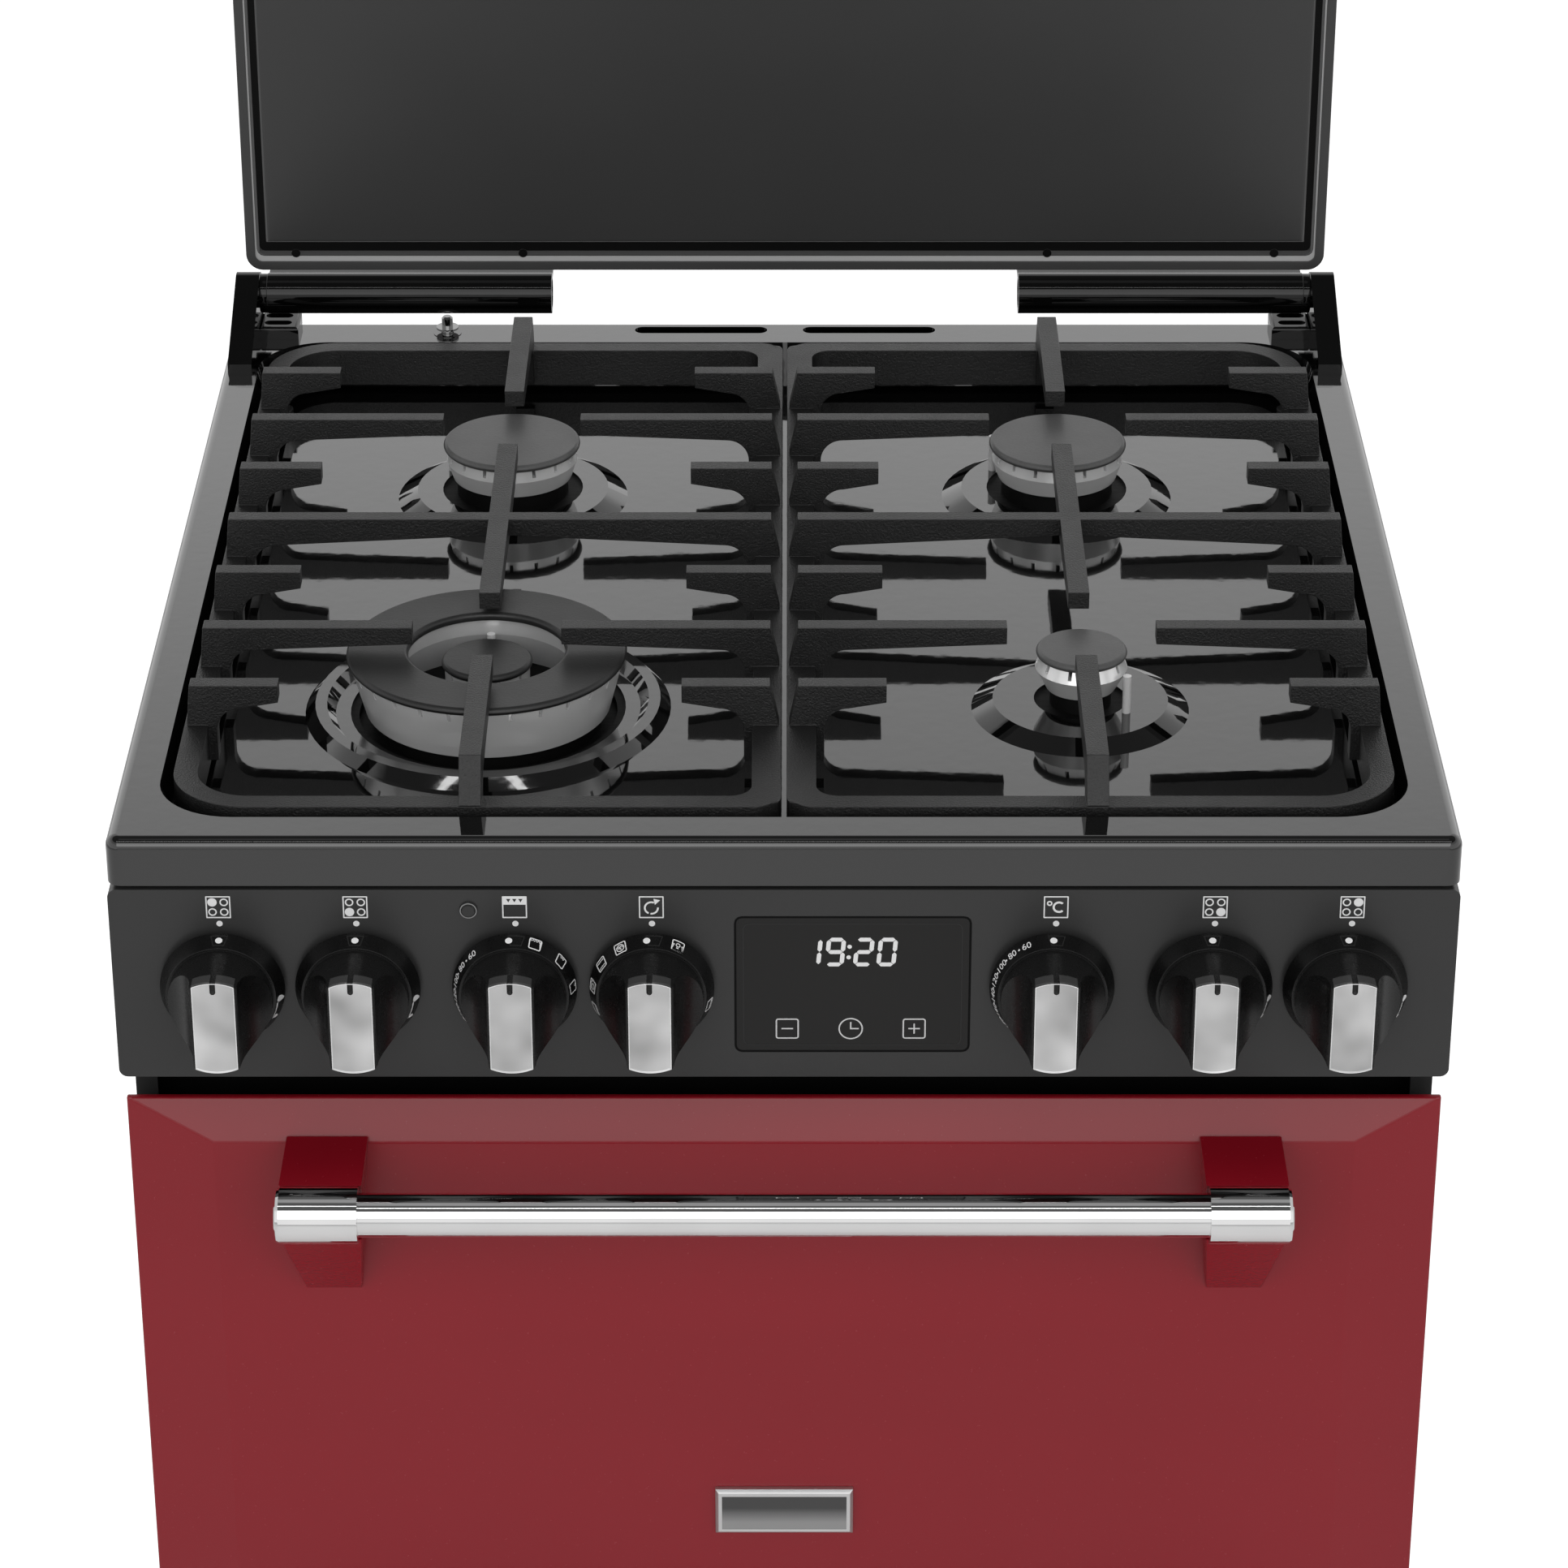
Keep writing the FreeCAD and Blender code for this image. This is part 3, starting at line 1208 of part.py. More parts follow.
def wire_bar(radius, start, heading, length):
    return Part.Face(octagon(radius, start, heading)).extrude(heading * length)


def bent_wire(points, radius, bend):
    """Eight-sided wire along straight runs, with a bend of one radius at every corner."""
    edges = []
    here = points[0]
    for before, corner, after in zip(points, points[1:], points[2:]):
        into = (corner - before).normalize()
        out = (after - corner).normalize()
        start = corner - into * bend
        end = corner + out * bend
        middle = corner + (out - into).normalize() * bend * (math.sqrt(2) - 1)
        edges.append(Part.LineSegment(here, start).toShape())
        edges.append(Part.Arc(start, middle, end).toShape())
        here = end
    edges.append(Part.LineSegment(here, points[-1]).toShape())
    path = Part.Wire(edges)
    heading = (points[1] - points[0]).normalize()
    return path.makePipeShell([octagon(radius, points[0], heading)], True, False)


def make_ovens():
    keep("grill_cavity", cavity(grill_floor, grill_cavity_height))
    shaft_hole = rod(fan_shaft + shaft_hole_margin, vec(0, cavity_back - 1, fan_z), back,
                     3 * sheet)
    keep("main_oven_cavity", cavity(main_floor, main_cavity_height).cut(shaft_hole))
    roof = grill_floor + grill_cavity_height - grill_element_drop
    near, far = frame_back + grill_run_front, cavity_back - grill_run_rear
    points = []
    for run in range(grill_element_runs):
        x = (run - (grill_element_runs - 1) / 2) * grill_run_pitch
        ends = (near, far) if run % 2 else (far, near)
        points += [vec(x, y, roof) for y in ends]
    points[0].y = points[-1].y = cavity_back
    grill = bent_wire(points, element_radius, grill_bend)
    ring_y = cavity_back - fan_element_gap
    side_of_hoop = vec(fan_element_radius, ring_y, fan_z)
    hoop = Part.Face(octagon(element_radius, side_of_hoop, vec(0, 0, 1))).revolve(
        vec(0, ring_y, fan_z), back, 360)
    legs = [wire_bar(element_radius, vec(x, ring_y, fan_z + fan_element_radius), back,
                cavity_back - ring_y) for x in (-element_foot, element_foot)]
    keep("heating_elements", [grill, joined([hoop] + legs)])
    make_fan()
    make_shelves()


def make_fan():
    hub_y = cavity_back - fan_from_rear
    hub = rod(fan_hub, vec(0, hub_y, fan_z), ahead, fan_width)
    disc = rod(fan_radius, vec(0, hub_y, fan_z), ahead, skin)
    blades = []
    for turn in range(fan_blades):
        blade = block(blade_root, fan_radius, hub_y - fan_width, hub_y - skin,
                      -blade_thickness / 2, blade_thickness / 2)
        blade.rotate(vec(0, 0, 0), back, 360 * turn / fan_blades)
        blade.translate(vec(0, 0, fan_z))
        blades.append(blade)
    shaft = rod(fan_shaft, vec(0, hub_y - shaft_in_hub, fan_z), back,
                shaft_in_hub + fan_from_rear + skin + shaft_in_motor)
    keep("oven_fan", joined([hub, disc, shaft] + blades))
    face = cavity_back + skin
    motor = rod(motor_radius, vec(0, face + motor_foot_thickness, fan_z), back, motor_length)
    foot_reach = motor_radius + motor_foot_lap
    foot = block(-foot_reach, foot_reach, face, face + motor_foot_thickness,
                 fan_z - motor_foot_half, fan_z + motor_foot_half)
    bore = rod(fan_shaft + fan_clearance, vec(0, face - 1, fan_z), back, 1 + motor_bore)
    keep("fan_motor", joined([motor, foot]).cut(bore))
    cover_y = cavity_back - fan_cover_depth
    side = fan_cover_half
    box = block(-side, side, cover_y, cavity_back, fan_z - side, fan_z + side)
    hollow = block(-side + skin, side - skin, cover_y + skin, cavity_back, fan_z - side + skin,
                   fan_z + side - skin)
    cover = box.cut(hollow)
    cuts = []
    for turn in range(intake_slots):
        slot = block(intake_inner, intake_outer, cover_y - 1, cover_y + 2 * skin,
                     -intake_half_width, intake_half_width)
        slot.rotate(vec(0, 0, 0), back, 360 * turn / intake_slots)
        slot.translate(vec(0, 0, fan_z))
        cuts.append(slot)
    for level in (-1, 1):
        for x in (-outlet_x, 0, outlet_x):
            z = fan_z + level * (side - outlet_inset)
            cuts.append(block(x - outlet_half_length, x + outlet_half_length, cover_y - 1,
                              cover_y + 2 * skin, z - outlet_half_height,
                              z + outlet_half_height))
    keep("fan_cover", cover.cut(Part.makeCompound(cuts)))


def wire_shelf(z):
    """Chromed wire shelf: a round frame with wires running front to back."""
    y0 = frame_back + shelf_front
    shelf_length = cavity_depth - fan_cover_depth - shelf_front - shelf_back
    y1 = y0 + shelf_length
    x = shelf_half - shelf_wire
    bars = [wire_bar(shelf_wire, vec(-shelf_half, y, z), right, 2 * shelf_half) for y in (y0, y1)]
    bars += pair(wire_bar(shelf_wire, vec(x - shelf_side_inset, y0 - shelf_overhang, z), back,
                     shelf_length + 2 * shelf_overhang))
    pitch = 2 * x / (shelf_bars + 1)
    thin = shelf_thin_wire
    for number in range(shelf_bars):
        start = vec(-x + (number + 1) * pitch, y0 - thin, z + shelf_bar_rise)
        bars.append(wire_bar(thin, start, back, shelf_length + 2 * thin))
    return joined(bars)


def make_shelves():
    wire = runner_wire
    wall = cavity_half - wire
    first = main_floor + runner_first
    y0 = frame_back + runner_front
    y1 = cavity_back - fan_cover_depth - runner_rear
    post_length = runner_first + (runner_levels - 1) * runner_pitch + post_over_runner - post_foot
    rack = [wire_bar(wire, vec(wall, y, main_floor + post_foot), up, post_length)
            for y in (y0 + post_from_end, y1 - post_from_end)]
    for level in range(runner_levels):
        start = vec(wall - 2 * wire + runner_lap, y0, first + level * runner_pitch)
        rack.append(wire_bar(wire, start, back, y1 - y0))
    keep("shelf_runners", pair(joined(rack)))
    keep("oven_shelves", [wire_shelf(first + level * runner_pitch + wire + shelf_wire)
                          for level in shelf_levels])
    make_grill_pan()


def make_grill_pan():
    """Pressed tray whose side rails reach the walls of the grill oven."""
    def tub(inset, corner, top):
        form = block(inset - pan_half, pan_half - inset, y0 + inset, y0 + pan_length - inset,
                     z + inset, top)
        upright_edges = [edge for edge in form.Edges
                         if abs(edge.Vertexes[0].Z - edge.Vertexes[-1].Z) > 1]
        return form.makeFillet(corner, upright_edges + edges_at(form, lambda p: p.z < z + 2))

    z = grill_floor + pan_rise
    y0 = frame_back + pan_front
    top = z + pan_depth
    tray = tub(0, pan_corner, top).cut(tub(sheet, pan_corner - sheet, top))
    rail = block(pan_half, cavity_half, y0, y0 + pan_length, top - pan_rail, top)
    keep("grill_pan", joined([tray] + pair(rail)))


def main():
    make_hob()
    make_burners()
    make_pan_supports()
    make_fascia()
    make_controls()
    arms = make_door("upper", upper_door_bottom, upper_door_top)
    arms += make_door("lower", lower_door_bottom, lower_door_top)
    keep("door_hinge_arms", arms)
    make_badge()
    make_lid()
    make_lid_brackets()
    make_body()
    make_front_frame()
    make_ovens()
    os.makedirs("parts", exist_ok=True)
    for name, shape in nodes.items():
        shape.exportStep("parts/" + name + ".step")
        box = shape.BoundBox
        print(f"{name:28s} solids {len(shape.Solids)} valid {shape.isValid()} "
              f"vol {shape.Volume / 1000:9.1f} cm3  x {box.XMin:.1f} {box.XMax:.1f} "
              f"y {box.YMin:.1f} {box.YMax:.1f} z {box.ZMin:.1f} {box.ZMax:.1f}")
    print(len(nodes), "nodes")


main()
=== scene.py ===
import bpy
import bmesh
from math import atan2, cos, pi, radians, sin
from mathutils import Matrix, Vector


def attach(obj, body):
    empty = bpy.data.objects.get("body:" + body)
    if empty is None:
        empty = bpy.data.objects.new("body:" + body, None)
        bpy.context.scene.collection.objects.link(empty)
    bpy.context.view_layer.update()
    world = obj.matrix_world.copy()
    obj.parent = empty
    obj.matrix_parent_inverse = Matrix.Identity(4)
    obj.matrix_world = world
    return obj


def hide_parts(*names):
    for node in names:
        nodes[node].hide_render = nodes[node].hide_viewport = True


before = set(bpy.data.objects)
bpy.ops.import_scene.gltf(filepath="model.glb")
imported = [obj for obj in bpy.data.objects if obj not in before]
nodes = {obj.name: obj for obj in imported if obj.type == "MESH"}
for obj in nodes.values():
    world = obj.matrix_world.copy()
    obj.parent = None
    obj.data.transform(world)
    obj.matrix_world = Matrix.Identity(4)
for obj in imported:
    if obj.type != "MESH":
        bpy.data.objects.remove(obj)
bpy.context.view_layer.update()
mm = 0.001                    # in metres


# finishes

class Wire:                   # a node's socket that can stand in a sum
    def __init__(self, socket):
        self.socket = socket

    def node(self, kind, settings=None, sockets=None, out=0):
        tree = self.socket.id_data
        made = tree.nodes.new("ShaderNode" + kind)
        for key, value in (settings or {}).items():
            if key == "stops":
                ramp = made.color_ramp.elements
                while len(ramp) < len(value):
                    ramp.new(0.5)
                for stop, (place, shade) in zip(ramp, value):
                    stop.position, stop.color = place, shade
            else:
                setattr(made, key, value)
        for key, value in (sockets or {}).items():
            if isinstance(value, Wire):
                tree.links.new(value.socket, made.inputs[key])
            else:
                made.inputs[key].default_value = value
        return Wire(made.outputs[out]) if made.outputs else made

    def maths(self, operation, first, second):
        return self.node("Math", {"operation": operation}, {0: first, 1: second})

    def __add__(self, other):
        return self.maths("ADD", self, other)

    def __sub__(self, other):
        return self.maths("SUBTRACT", self, other)

    def __mul__(self, other):
        return self.maths("MULTIPLY", self, other)

    __radd__ = __add__
    __rmul__ = __mul__


def startFinish(name):
    mat = bpy.data.materials.new(name)
    mat.use_nodes = True
    mat.node_tree.nodes.clear()
    return mat, Wire(mat.node_tree.nodes.new("ShaderNodeTexCoord").outputs["Object"])


def endFinish(mat, at, sockets):
    surface = at.node("BsdfPrincipled", None, sockets)
    at.node("OutputMaterial", None, {"Surface": surface})
    return mat


def noise(at, size, detail=2.0, rough=0.5, stretch=(1, 1, 1)):
    # noise with features of about that size in metres, from 0 to 1
    scaled = at.node("Mapping", None, {"Vector": at, "Scale": stretch})
    return at.node("TexNoise", None, {"Vector": scaled, "Scale": 1 / size, "Detail": detail,
                                      "Roughness": rough})


def blend(at, mask, first, second):
    # sockets 6 and 7 of this node are its two colours, and output 2 is their mix
    return at.node("Mix", {"data_type": "RGBA"}, {"Factor": mask, 6: first, 7: second}, 2)


def bump(at, height, deep):
    return at.node("Bump", None, {"Height": height, "Distance": deep, "Strength": 1.0})


def grey(level, warm=0.0):
    return (level * (1 + warm), level, level * (1 - warm), 1)


def enamel(name, look):
    # glassy coat: faint orange peel, faint drift of colour, a few duller specks
    driftSize, speckSize, dulled, coatIor = 0.08, 0.0009, 0.04, 1.5
    mat, at = startFinish(name)
    drift = noise(at, driftSize, 1)
    peel = noise(at, look["peel"], 1)
    speck = noise(at, speckSize, 0)
    colour = blend(at, drift, look["dark"], look["light"])
    return endFinish(mat, at, {
        "Base Color": colour, "Roughness": look["rough"] + dulled * speck * drift,
        "IOR": look["ior"], "Coat Weight": look["coat"], "Coat Roughness": look["coatRough"],
        "Coat IOR": coatIor, "Normal": bump(at, peel, look["deep"])})


def casting(name, look):
    # sand-cast iron under matt enamel: fine grain over slow waves
    waveSize, waveHeight, dulled = 0.018, 0.6, 0.12
    mat, at = startFinish(name)
    grain = noise(at, look["grain"], 3, 0.65)
    waves = noise(at, waveSize, 2)
    colour = blend(at, grain, look["dark"], look["light"])
    height = grain + waveHeight * waves
    return endFinish(mat, at, {
        "Base Color": colour, "Roughness": look["rough"] + dulled * (waves - 0.5),
        "IOR": look["ior"], "Normal": bump(at, height, look["deep"])})


def paling(at, top, fall):
    # nought at the top and above, and one where the height has fallen by so much; it pales the
    # plate's field downwards as a painted reflection
    height = at.node("SeparateXYZ", None, {"Vector": at}, "Z")
    return at.node("MapRange", None, {"Value": height, "From Min": top, "From Max": top - fall})


def metal(name, look):
    # polished or brushed metal in clouds of two tones, or paling downwards from its top; the
    # paling, and on the satin silver the clouds, are painted reflection and shade; the brushing
    # runs along the axis of least stretch
    mat, at = startFinish(name)
    lines = noise(at, look["grain"], 2, 0.6, look["stretch"])
    mask = (paling(at, look["top"], look["fall"]) if "top" in look
            else noise(at, look.get("cloud", 0.03), 1))
    colour = blend(at, mask, look["dark"], look["light"])
    return endFinish(mat, at, {
        "Base Color": colour, "Metallic": look.get("metal", 1.0),
        "Roughness": look["rough"] + look["spread"] * lines,
        "Normal": bump(at, lines, look["deep"])})


def paint(name, look):
    # sprayed paint or moulded plastic: fine texture, slight change of gloss
    driftSize, dulled = 0.12, 0.06
    mat, at = startFinish(name)
    texture = noise(at, look["grain"], 2, 0.55)
    drift = noise(at, driftSize, 1)
    colour = blend(at, drift, look["dark"], look["light"])
    return endFinish(mat, at, {
        "Base Color": colour, "Roughness": look["rough"] + dulled * (texture - 0.5),
        "IOR": look["ior"], "Coat Weight": look["coat"], "Coat Roughness": look["coatRough"],
        "Normal": bump(at, texture, look["deep"])})


enamelBlack = {"dark": grey(0.0012), "light": grey(0.0022), "rough": 0.04, "ior": 1.55,
               "coat": 0.9, "coatRough": 0.02, "peel": 0.007, "deep": 0.00004}
lidBlack = dict(enamelBlack, dark=grey(0.028), light=grey(0.034), rough=0.5, ior=1.5,
                coat=0.0, coatRough=0.3)
hingeBlack = dict(enamelBlack, dark=grey(0.001), light=grey(0.002), rough=0.05, ior=1.38,
                  coat=0.0)
linerEnamel = dict(enamelBlack, dark=grey(0.012), light=grey(0.03), rough=0.25, coat=0.5,
                   coatRough=0.1)
castIron = {"dark": grey(0.001), "light": grey(0.013), "rough": 0.38, "ior": 1.5,
            "grain": 0.0010, "deep": 0.0004}
capIron = {"dark": grey(0.056), "light": grey(0.084), "rough": 0.4, "ior": 1.5,
           "grain": 0.0016, "deep": 0.00008}
wokIron = dict(capIron, dark=grey(0.010), light=grey(0.016))
aluminium = {"dark": grey(0.84), "light": grey(0.97), "rough": 0.24, "spread": 0.04,
             "metal": 0.5, "grain": 0.0012, "stretch": (1, 1, 0.12), "deep": 0.000001}
chromePlate = {"dark": grey(0.74), "light": grey(0.82), "rough": 0.035, "spread": 0.004,
               "grain": 0.004, "stretch": (1, 1, 1), "deep": 0.000001}
# the inserts' clouds, from dark to nearly white across each insert, are painted reflection and
# shade
satinSilver = {"dark": grey(0.22), "light": grey(0.98), "rough": 0.26, "spread": 0.1,
               "cloud": 0.022, "grain": 0.0008, "stretch": (1, 1, 0.04), "deep": 0.000006}
pinChrome = dict(chromePlate, dark=grey(0.30), light=grey(0.38), rough=0.1)
borderSilver = dict(satinSilver, dark=grey(0.60), light=grey(0.68), rough=0.3)
# the plate's field, dark at its top and pale below: a painted reflection of the floor
fieldReflectionGrey = {"dark": grey(0.055), "light": grey(0.275), "rough": 0.32, "spread": 0.1,
             "metal": 0.3, "grain": 0.0006, "stretch": (0.04, 1, 1), "deep": 0.000004,
             "top": 0.545, "fall": 0.008}
plainSteel = {"dark": grey(0.42), "light": grey(0.58), "rough": 0.3, "spread": 0.2,
              "grain": 0.002, "stretch": (0.2, 1, 1), "deep": 0.00002}
# a dark copy of the steel for the injector cups: painted shade under the burner crowns
cupShadeSteel = dict(plainSteel, dark=grey(0.012), light=grey(0.03), rough=0.5)
zincSheet = {"dark": grey(0.30), "light": grey(0.52), "rough": 0.35, "spread": 0.2,
             "grain": 0.012, "stretch": (1, 1, 1), "deep": 0.00002}
brassMetal = dict(plainSteel, dark=(0.45, 0.28, 0.1, 1), light=(0.62, 0.42, 0.17, 1))
fasciaPaint = {"dark": grey(0.026), "light": grey(0.032), "rough": 0.34, "ior": 1.4,
               "coat": 0.0, "coatRough": 0.25, "grain": 0.0012, "deep": 0.00003}
bodyPaint = dict(fasciaPaint, dark=grey(0.012), light=grey(0.017), rough=0.42)
frameBlack = dict(fasciaPaint, dark=grey(0.002), light=grey(0.004), rough=0.5, ior=1.25)
redEnamel = {"dark": (0.212, 0.0040, 0.0104, 1), "light": (0.230, 0.0050, 0.0126, 1),
             "rough": 0.26, "ior": 1.43, "coat": 0.0, "coatRough": 0.16, "grain": 0.0016,
             "deep": 0.00004}
knobPlastic = {"dark": grey(0.003), "light": grey(0.005), "rough": 0.28, "ior": 1.4,
               "coat": 0.0, "coatRough": 0.12, "grain": 0.0012, "deep": 0.00001}
softPlastic = dict(knobPlastic, dark=grey(0.02), light=grey(0.035), rough=0.5)
switchWhite = dict(softPlastic, dark=grey(0.5), light=grey(0.6))
boardGreen = dict(softPlastic, dark=(0.01, 0.08, 0.03, 1), light=(0.02, 0.14, 0.05, 1))
ceramicWhite = dict(softPlastic, dark=grey(0.5), light=grey(0.62), rough=0.2, ior=1.5)
windowBlack = {"dark": grey(0.007, 0.04), "light": grey(0.008, 0.04), "rough": 0.25,
               "ior": 1.36, "coat": 0.0, "coatRough": 0.12, "grain": 0.0008,
               "deep": 0.000006}
lampLens = dict(knobPlastic, dark=grey(0.016), light=grey(0.030), rough=0.12)
rubberGrey = dict(softPlastic, dark=grey(0.03), light=grey(0.05), rough=0.6)
# white of the printed marks, also used for the painted highlight round the knob inserts
printAndHighlightWhite = {"dark": grey(0.70), "light": grey(0.76), "rough": 0.5, "ior": 1.4, "coat": 0.0,
              "coatRough": 0.2, "grain": 0.0006, "deep": 0.000004}
keyGrey = dict(printAndHighlightWhite, dark=grey(0.52), light=grey(0.58))
faintGrey = dict(printAndHighlightWhite, dark=grey(0.013), light=grey(0.016))
# black of printed lines, also used for painted shade in the lid's groove and holes
lineAndShadeBlack = dict(printAndHighlightWhite, dark=grey(0.0015), light=grey(0.002), ior=1.2)
carrierGrey = dict(printAndHighlightWhite, dark=grey(0.030), light=grey(0.042), rough=0.3)
lensHighlightGrey = dict(printAndHighlightWhite, dark=grey(0.20), light=grey(0.25), rough=0.3)
stripGrey = dict(printAndHighlightWhite, dark=grey(0.34), light=grey(0.40), rough=0.4)

finishes = {
    "gloss_black_enamel": enamel("glossBlackEnamel", enamelBlack),
    "lid_enamel": enamel("lidEnamel", lidBlack),
    "hinge_enamel": enamel("hingeEnamel", hingeBlack),
    "liner_enamel": enamel("linerEnamel", linerEnamel),
    "cast_iron_black": casting("castIronBlack", castIron),
    "cap_iron": casting("capIron", capIron),
    "wok_iron": casting("wokIron", wokIron),
    "burner_aluminium": metal("burnerAluminium", aluminium),
    "chrome": metal("chromePlate", chromePlate),
    "satin_silver": metal("satinSilver", satinSilver),
    "pin_chrome": metal("pinChrome", pinChrome),
    "pipe_steel": metal("plainSteel", plainSteel),
    "shelf_chrome": metal("shelfChrome", dict(chromePlate, rough=0.14)),
    "dark_steel": metal("cupShadeSteel", cupShadeSteel),
    "galvanised": metal("zincSheet", zincSheet),
    "plate_grey": metal("plateSilver", borderSilver),
    "plate_field": metal("plateFieldReflection", fieldReflectionGrey),
    "brass": metal("brassMetal", brassMetal),
    "fascia_grey": paint("fasciaPaint", fasciaPaint),
    "body_black": paint("bodyPaint", bodyPaint),
    "frame_black": paint("frameBlack", frameBlack),
    "door_red": paint("redEnamel", redEnamel),
    "knob_black": paint("knobPlastic", knobPlastic),
    "foot_plastic": paint("footPlastic", softPlastic),
    "switch_plastic": paint("switchPlastic", switchWhite),
    "circuit_board": paint("circuitBoard", boardGreen),
    "electrode_ceramic": paint("electrodeCeramic", ceramicWhite),
    "window_glass": paint("windowGlass", windowBlack),
    "lamp_lens": paint("lampLens", lampLens),
    "seal_rubber": paint("sealRubber", rubberGrey),
    "print_white": paint("printAndHighlightWhite", printAndHighlightWhite),
    "key_grey": paint("keyGrey", keyGrey),
    "faint_grey": paint("faintGrey", faintGrey),
    "line_black": paint("lineAndShadeBlack", lineAndShadeBlack),
    "carrier_grey": paint("carrierGrey", carrierGrey),
    "strip_grey": paint("stripGrey", stripGrey),
    "rim_grey": paint("lensHighlightGrey", lensHighlightGrey),
}
# the injector cups are coloured dark, painted shade for the gap under the burner crowns
ownFinish = {"lid_inner_panel": "lid_enamel", "lid_hinge_tubes": "hinge_enamel",
             "front_frame": "frame_black", "injector_cups": "dark_steel",
             "safety_plunger": "pin_chrome"}
for name, node in nodes.items():
    for held in node.material_slots:
        held.material = finishes[ownFinish.get(name, held.material.name.split(".")[0])]
print("finishes made")


# camera, floor and light

view = {"place": (2.9 * mm, -2264.3 * mm, 1957.9 * mm), "down": 27.4, "lens": 117.27,
        "sensor": 36, "shift": -0.00407}
camera = bpy.data.objects.new("camera", bpy.data.cameras.new("camera"))
bpy.context.scene.collection.objects.link(camera)
camera.location = view["place"]
camera.rotation_euler = (radians(90 - view["down"]), 0, 0)
camera.data.lens, camera.data.sensor_width = view["lens"], view["sensor"]
camera.data.shift_x = view["shift"]
bpy.context.scene.camera = camera

floor = {"size": 14.0, "dark": grey(0.84), "light": grey(0.88), "patch": 0.4, "rough": 0.8,
         "glow": 0.62}
bpy.ops.mesh.primitive_plane_add(size=floor["size"])
ground = bpy.context.object
ground.name = "floor"
mat, at = startFinish("paleFloor")
tone = blend(at, noise(at, floor["patch"], 2), floor["dark"], floor["light"])
seen = at.node("LightPath", None, None, "Is Camera Ray")
ground.data.materials.append(endFinish(mat, at, {
    "Base Color": tone, "Roughness": floor["rough"], "Emission Color": grey(1.0),
    "Emission Strength": seen * floor["glow"]}))

# the room that the gloss surfaces mirror: its shade by height, and white to the camera
sky = [(0.0, grey(0.95)), (0.40, grey(0.95)), (0.50, grey(0.66)), (0.66, grey(0.6)),
       (0.71, grey(0.10)), (0.982, grey(0.10)), (0.992, grey(0.34))]
world = bpy.data.worlds.new("studio")
bpy.context.scene.world = world
world.use_nodes = True
world.node_tree.nodes.clear()
at = Wire(world.node_tree.nodes.new("ShaderNodeTexCoord").outputs["Generated"])
height = at.node("SeparateXYZ", None, {"Vector": at}, "Z")
room = at.node("ValToRGB", {"stops": sky}, {"Fac": height})
seen = at.node("LightPath", None, None, "Is Camera Ray")
backdrop = at.node("Background", None, {"Color": blend(at, seen, room, grey(1.0)),
                                        "Strength": 1.0})
at.node("OutputWorld", None, {"Surface": backdrop})

lamps = {                     # a strip and a broad box in front, and a soft one overhead
    "strip": {"place": (0, -1.30, 3.1), "aim": (0, -0.2, 0.9), "size": (3.2, 0.05),
              "watts": 4, "mirrored": True},
    "front": {"place": (0, -3.9, 3.1), "aim": (0, -0.3, 0.8), "size": (5.0, 2.6),
              "watts": 62, "mirrored": True},
    "over": {"place": (0, 0.2, 3.7), "aim": (0, 0.0, 0.9), "size": (3.0, 3.0),
             "watts": 50, "mirrored": False},
}
for name, lamp in lamps.items():
    light = bpy.data.lights.new(name, "AREA")
    light.shape = "RECTANGLE"
    light.size, light.size_y = lamp["size"]
    light.energy = lamp["watts"]
    made = bpy.data.objects.new(name, light)
    bpy.context.scene.collection.objects.link(made)
    made.visible_glossy = lamp["mirrored"]
    made.location = lamp["place"]
    made.rotation_euler = (Vector(lamp["aim"]) - Vector(lamp["place"])).to_track_quat(
        "-Z", "Y").to_euler()
bpy.context.scene.view_settings.view_transform = "Standard"
print("camera, floor and lamps set")


# shaping helpers

def pick(*chosen):
    # leaves edit mode and selects these alone, the first one as the active one
    if bpy.context.object and bpy.context.object.mode == "EDIT":
        bpy.ops.object.mode_set(mode="OBJECT")
    bpy.ops.object.select_all(action="DESELECT")
    for obj in chosen:
        obj.select_set(True)
    bpy.context.view_layer.objects.active = chosen[0]


def settle(obj):
    # puts the place, turn and scale into the mesh
    pick(obj)
    bpy.ops.object.transform_apply(location=True, rotation=True, scale=True)


def edit(obj):
    pick(obj)
    bpy.ops.object.mode_set(mode="EDIT")


def done():
    bpy.ops.object.mode_set(mode="OBJECT")


def choose(obj, kind, test):
    # in edit mode, selects the faces or corners that pass
    bpy.ops.mesh.select_mode(type=kind)
    bpy.ops.mesh.select_all(action="DESELECT")
    mesh = bmesh.from_edit_mesh(obj.data)
    for item in {"FACE": mesh.faces, "VERT": mesh.verts}[kind]:
        if test(item):
            item.select_set(True)
    bmesh.update_edit_mesh(obj.data)


def applied(obj, kind, **settings):
    pick(obj)
    step = obj.modifiers.new(kind.lower(), kind)
    for key, value in settings.items():
        setattr(step, key, value)
    bpy.ops.object.modifier_apply(modifier=step.name)


def eased(obj, width, segments, angle=40, **settings):
    # rounds the edges that turn by more than that angle
    applied(obj, "BEVEL", width=width * mm, segments=segments, limit_method="ANGLE",
            angle_limit=radians(angle), **settings)


def rod(radius, long, facets, turn, place):
    # a cylinder, turned from upright by these degrees
    bpy.ops.object.select_all(action="DESELECT")
    bpy.ops.mesh.primitive_cylinder_add(vertices=facets, radius=radius * mm, depth=long * mm)
    obj = bpy.context.object
    obj.rotation_euler = [radians(angle) for angle in turn]
    obj.location = [value * mm for value in place]
    settle(obj)
    return obj


def clad(obj, name, body, slotName, finish=None):
    # names a finished piece, gives it its finish and sets it on its body
    obj.name = obj.data.name = name
    obj.data.materials.clear()
    obj.data.materials.append(finishes[finish or slotName])
    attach(obj, body)


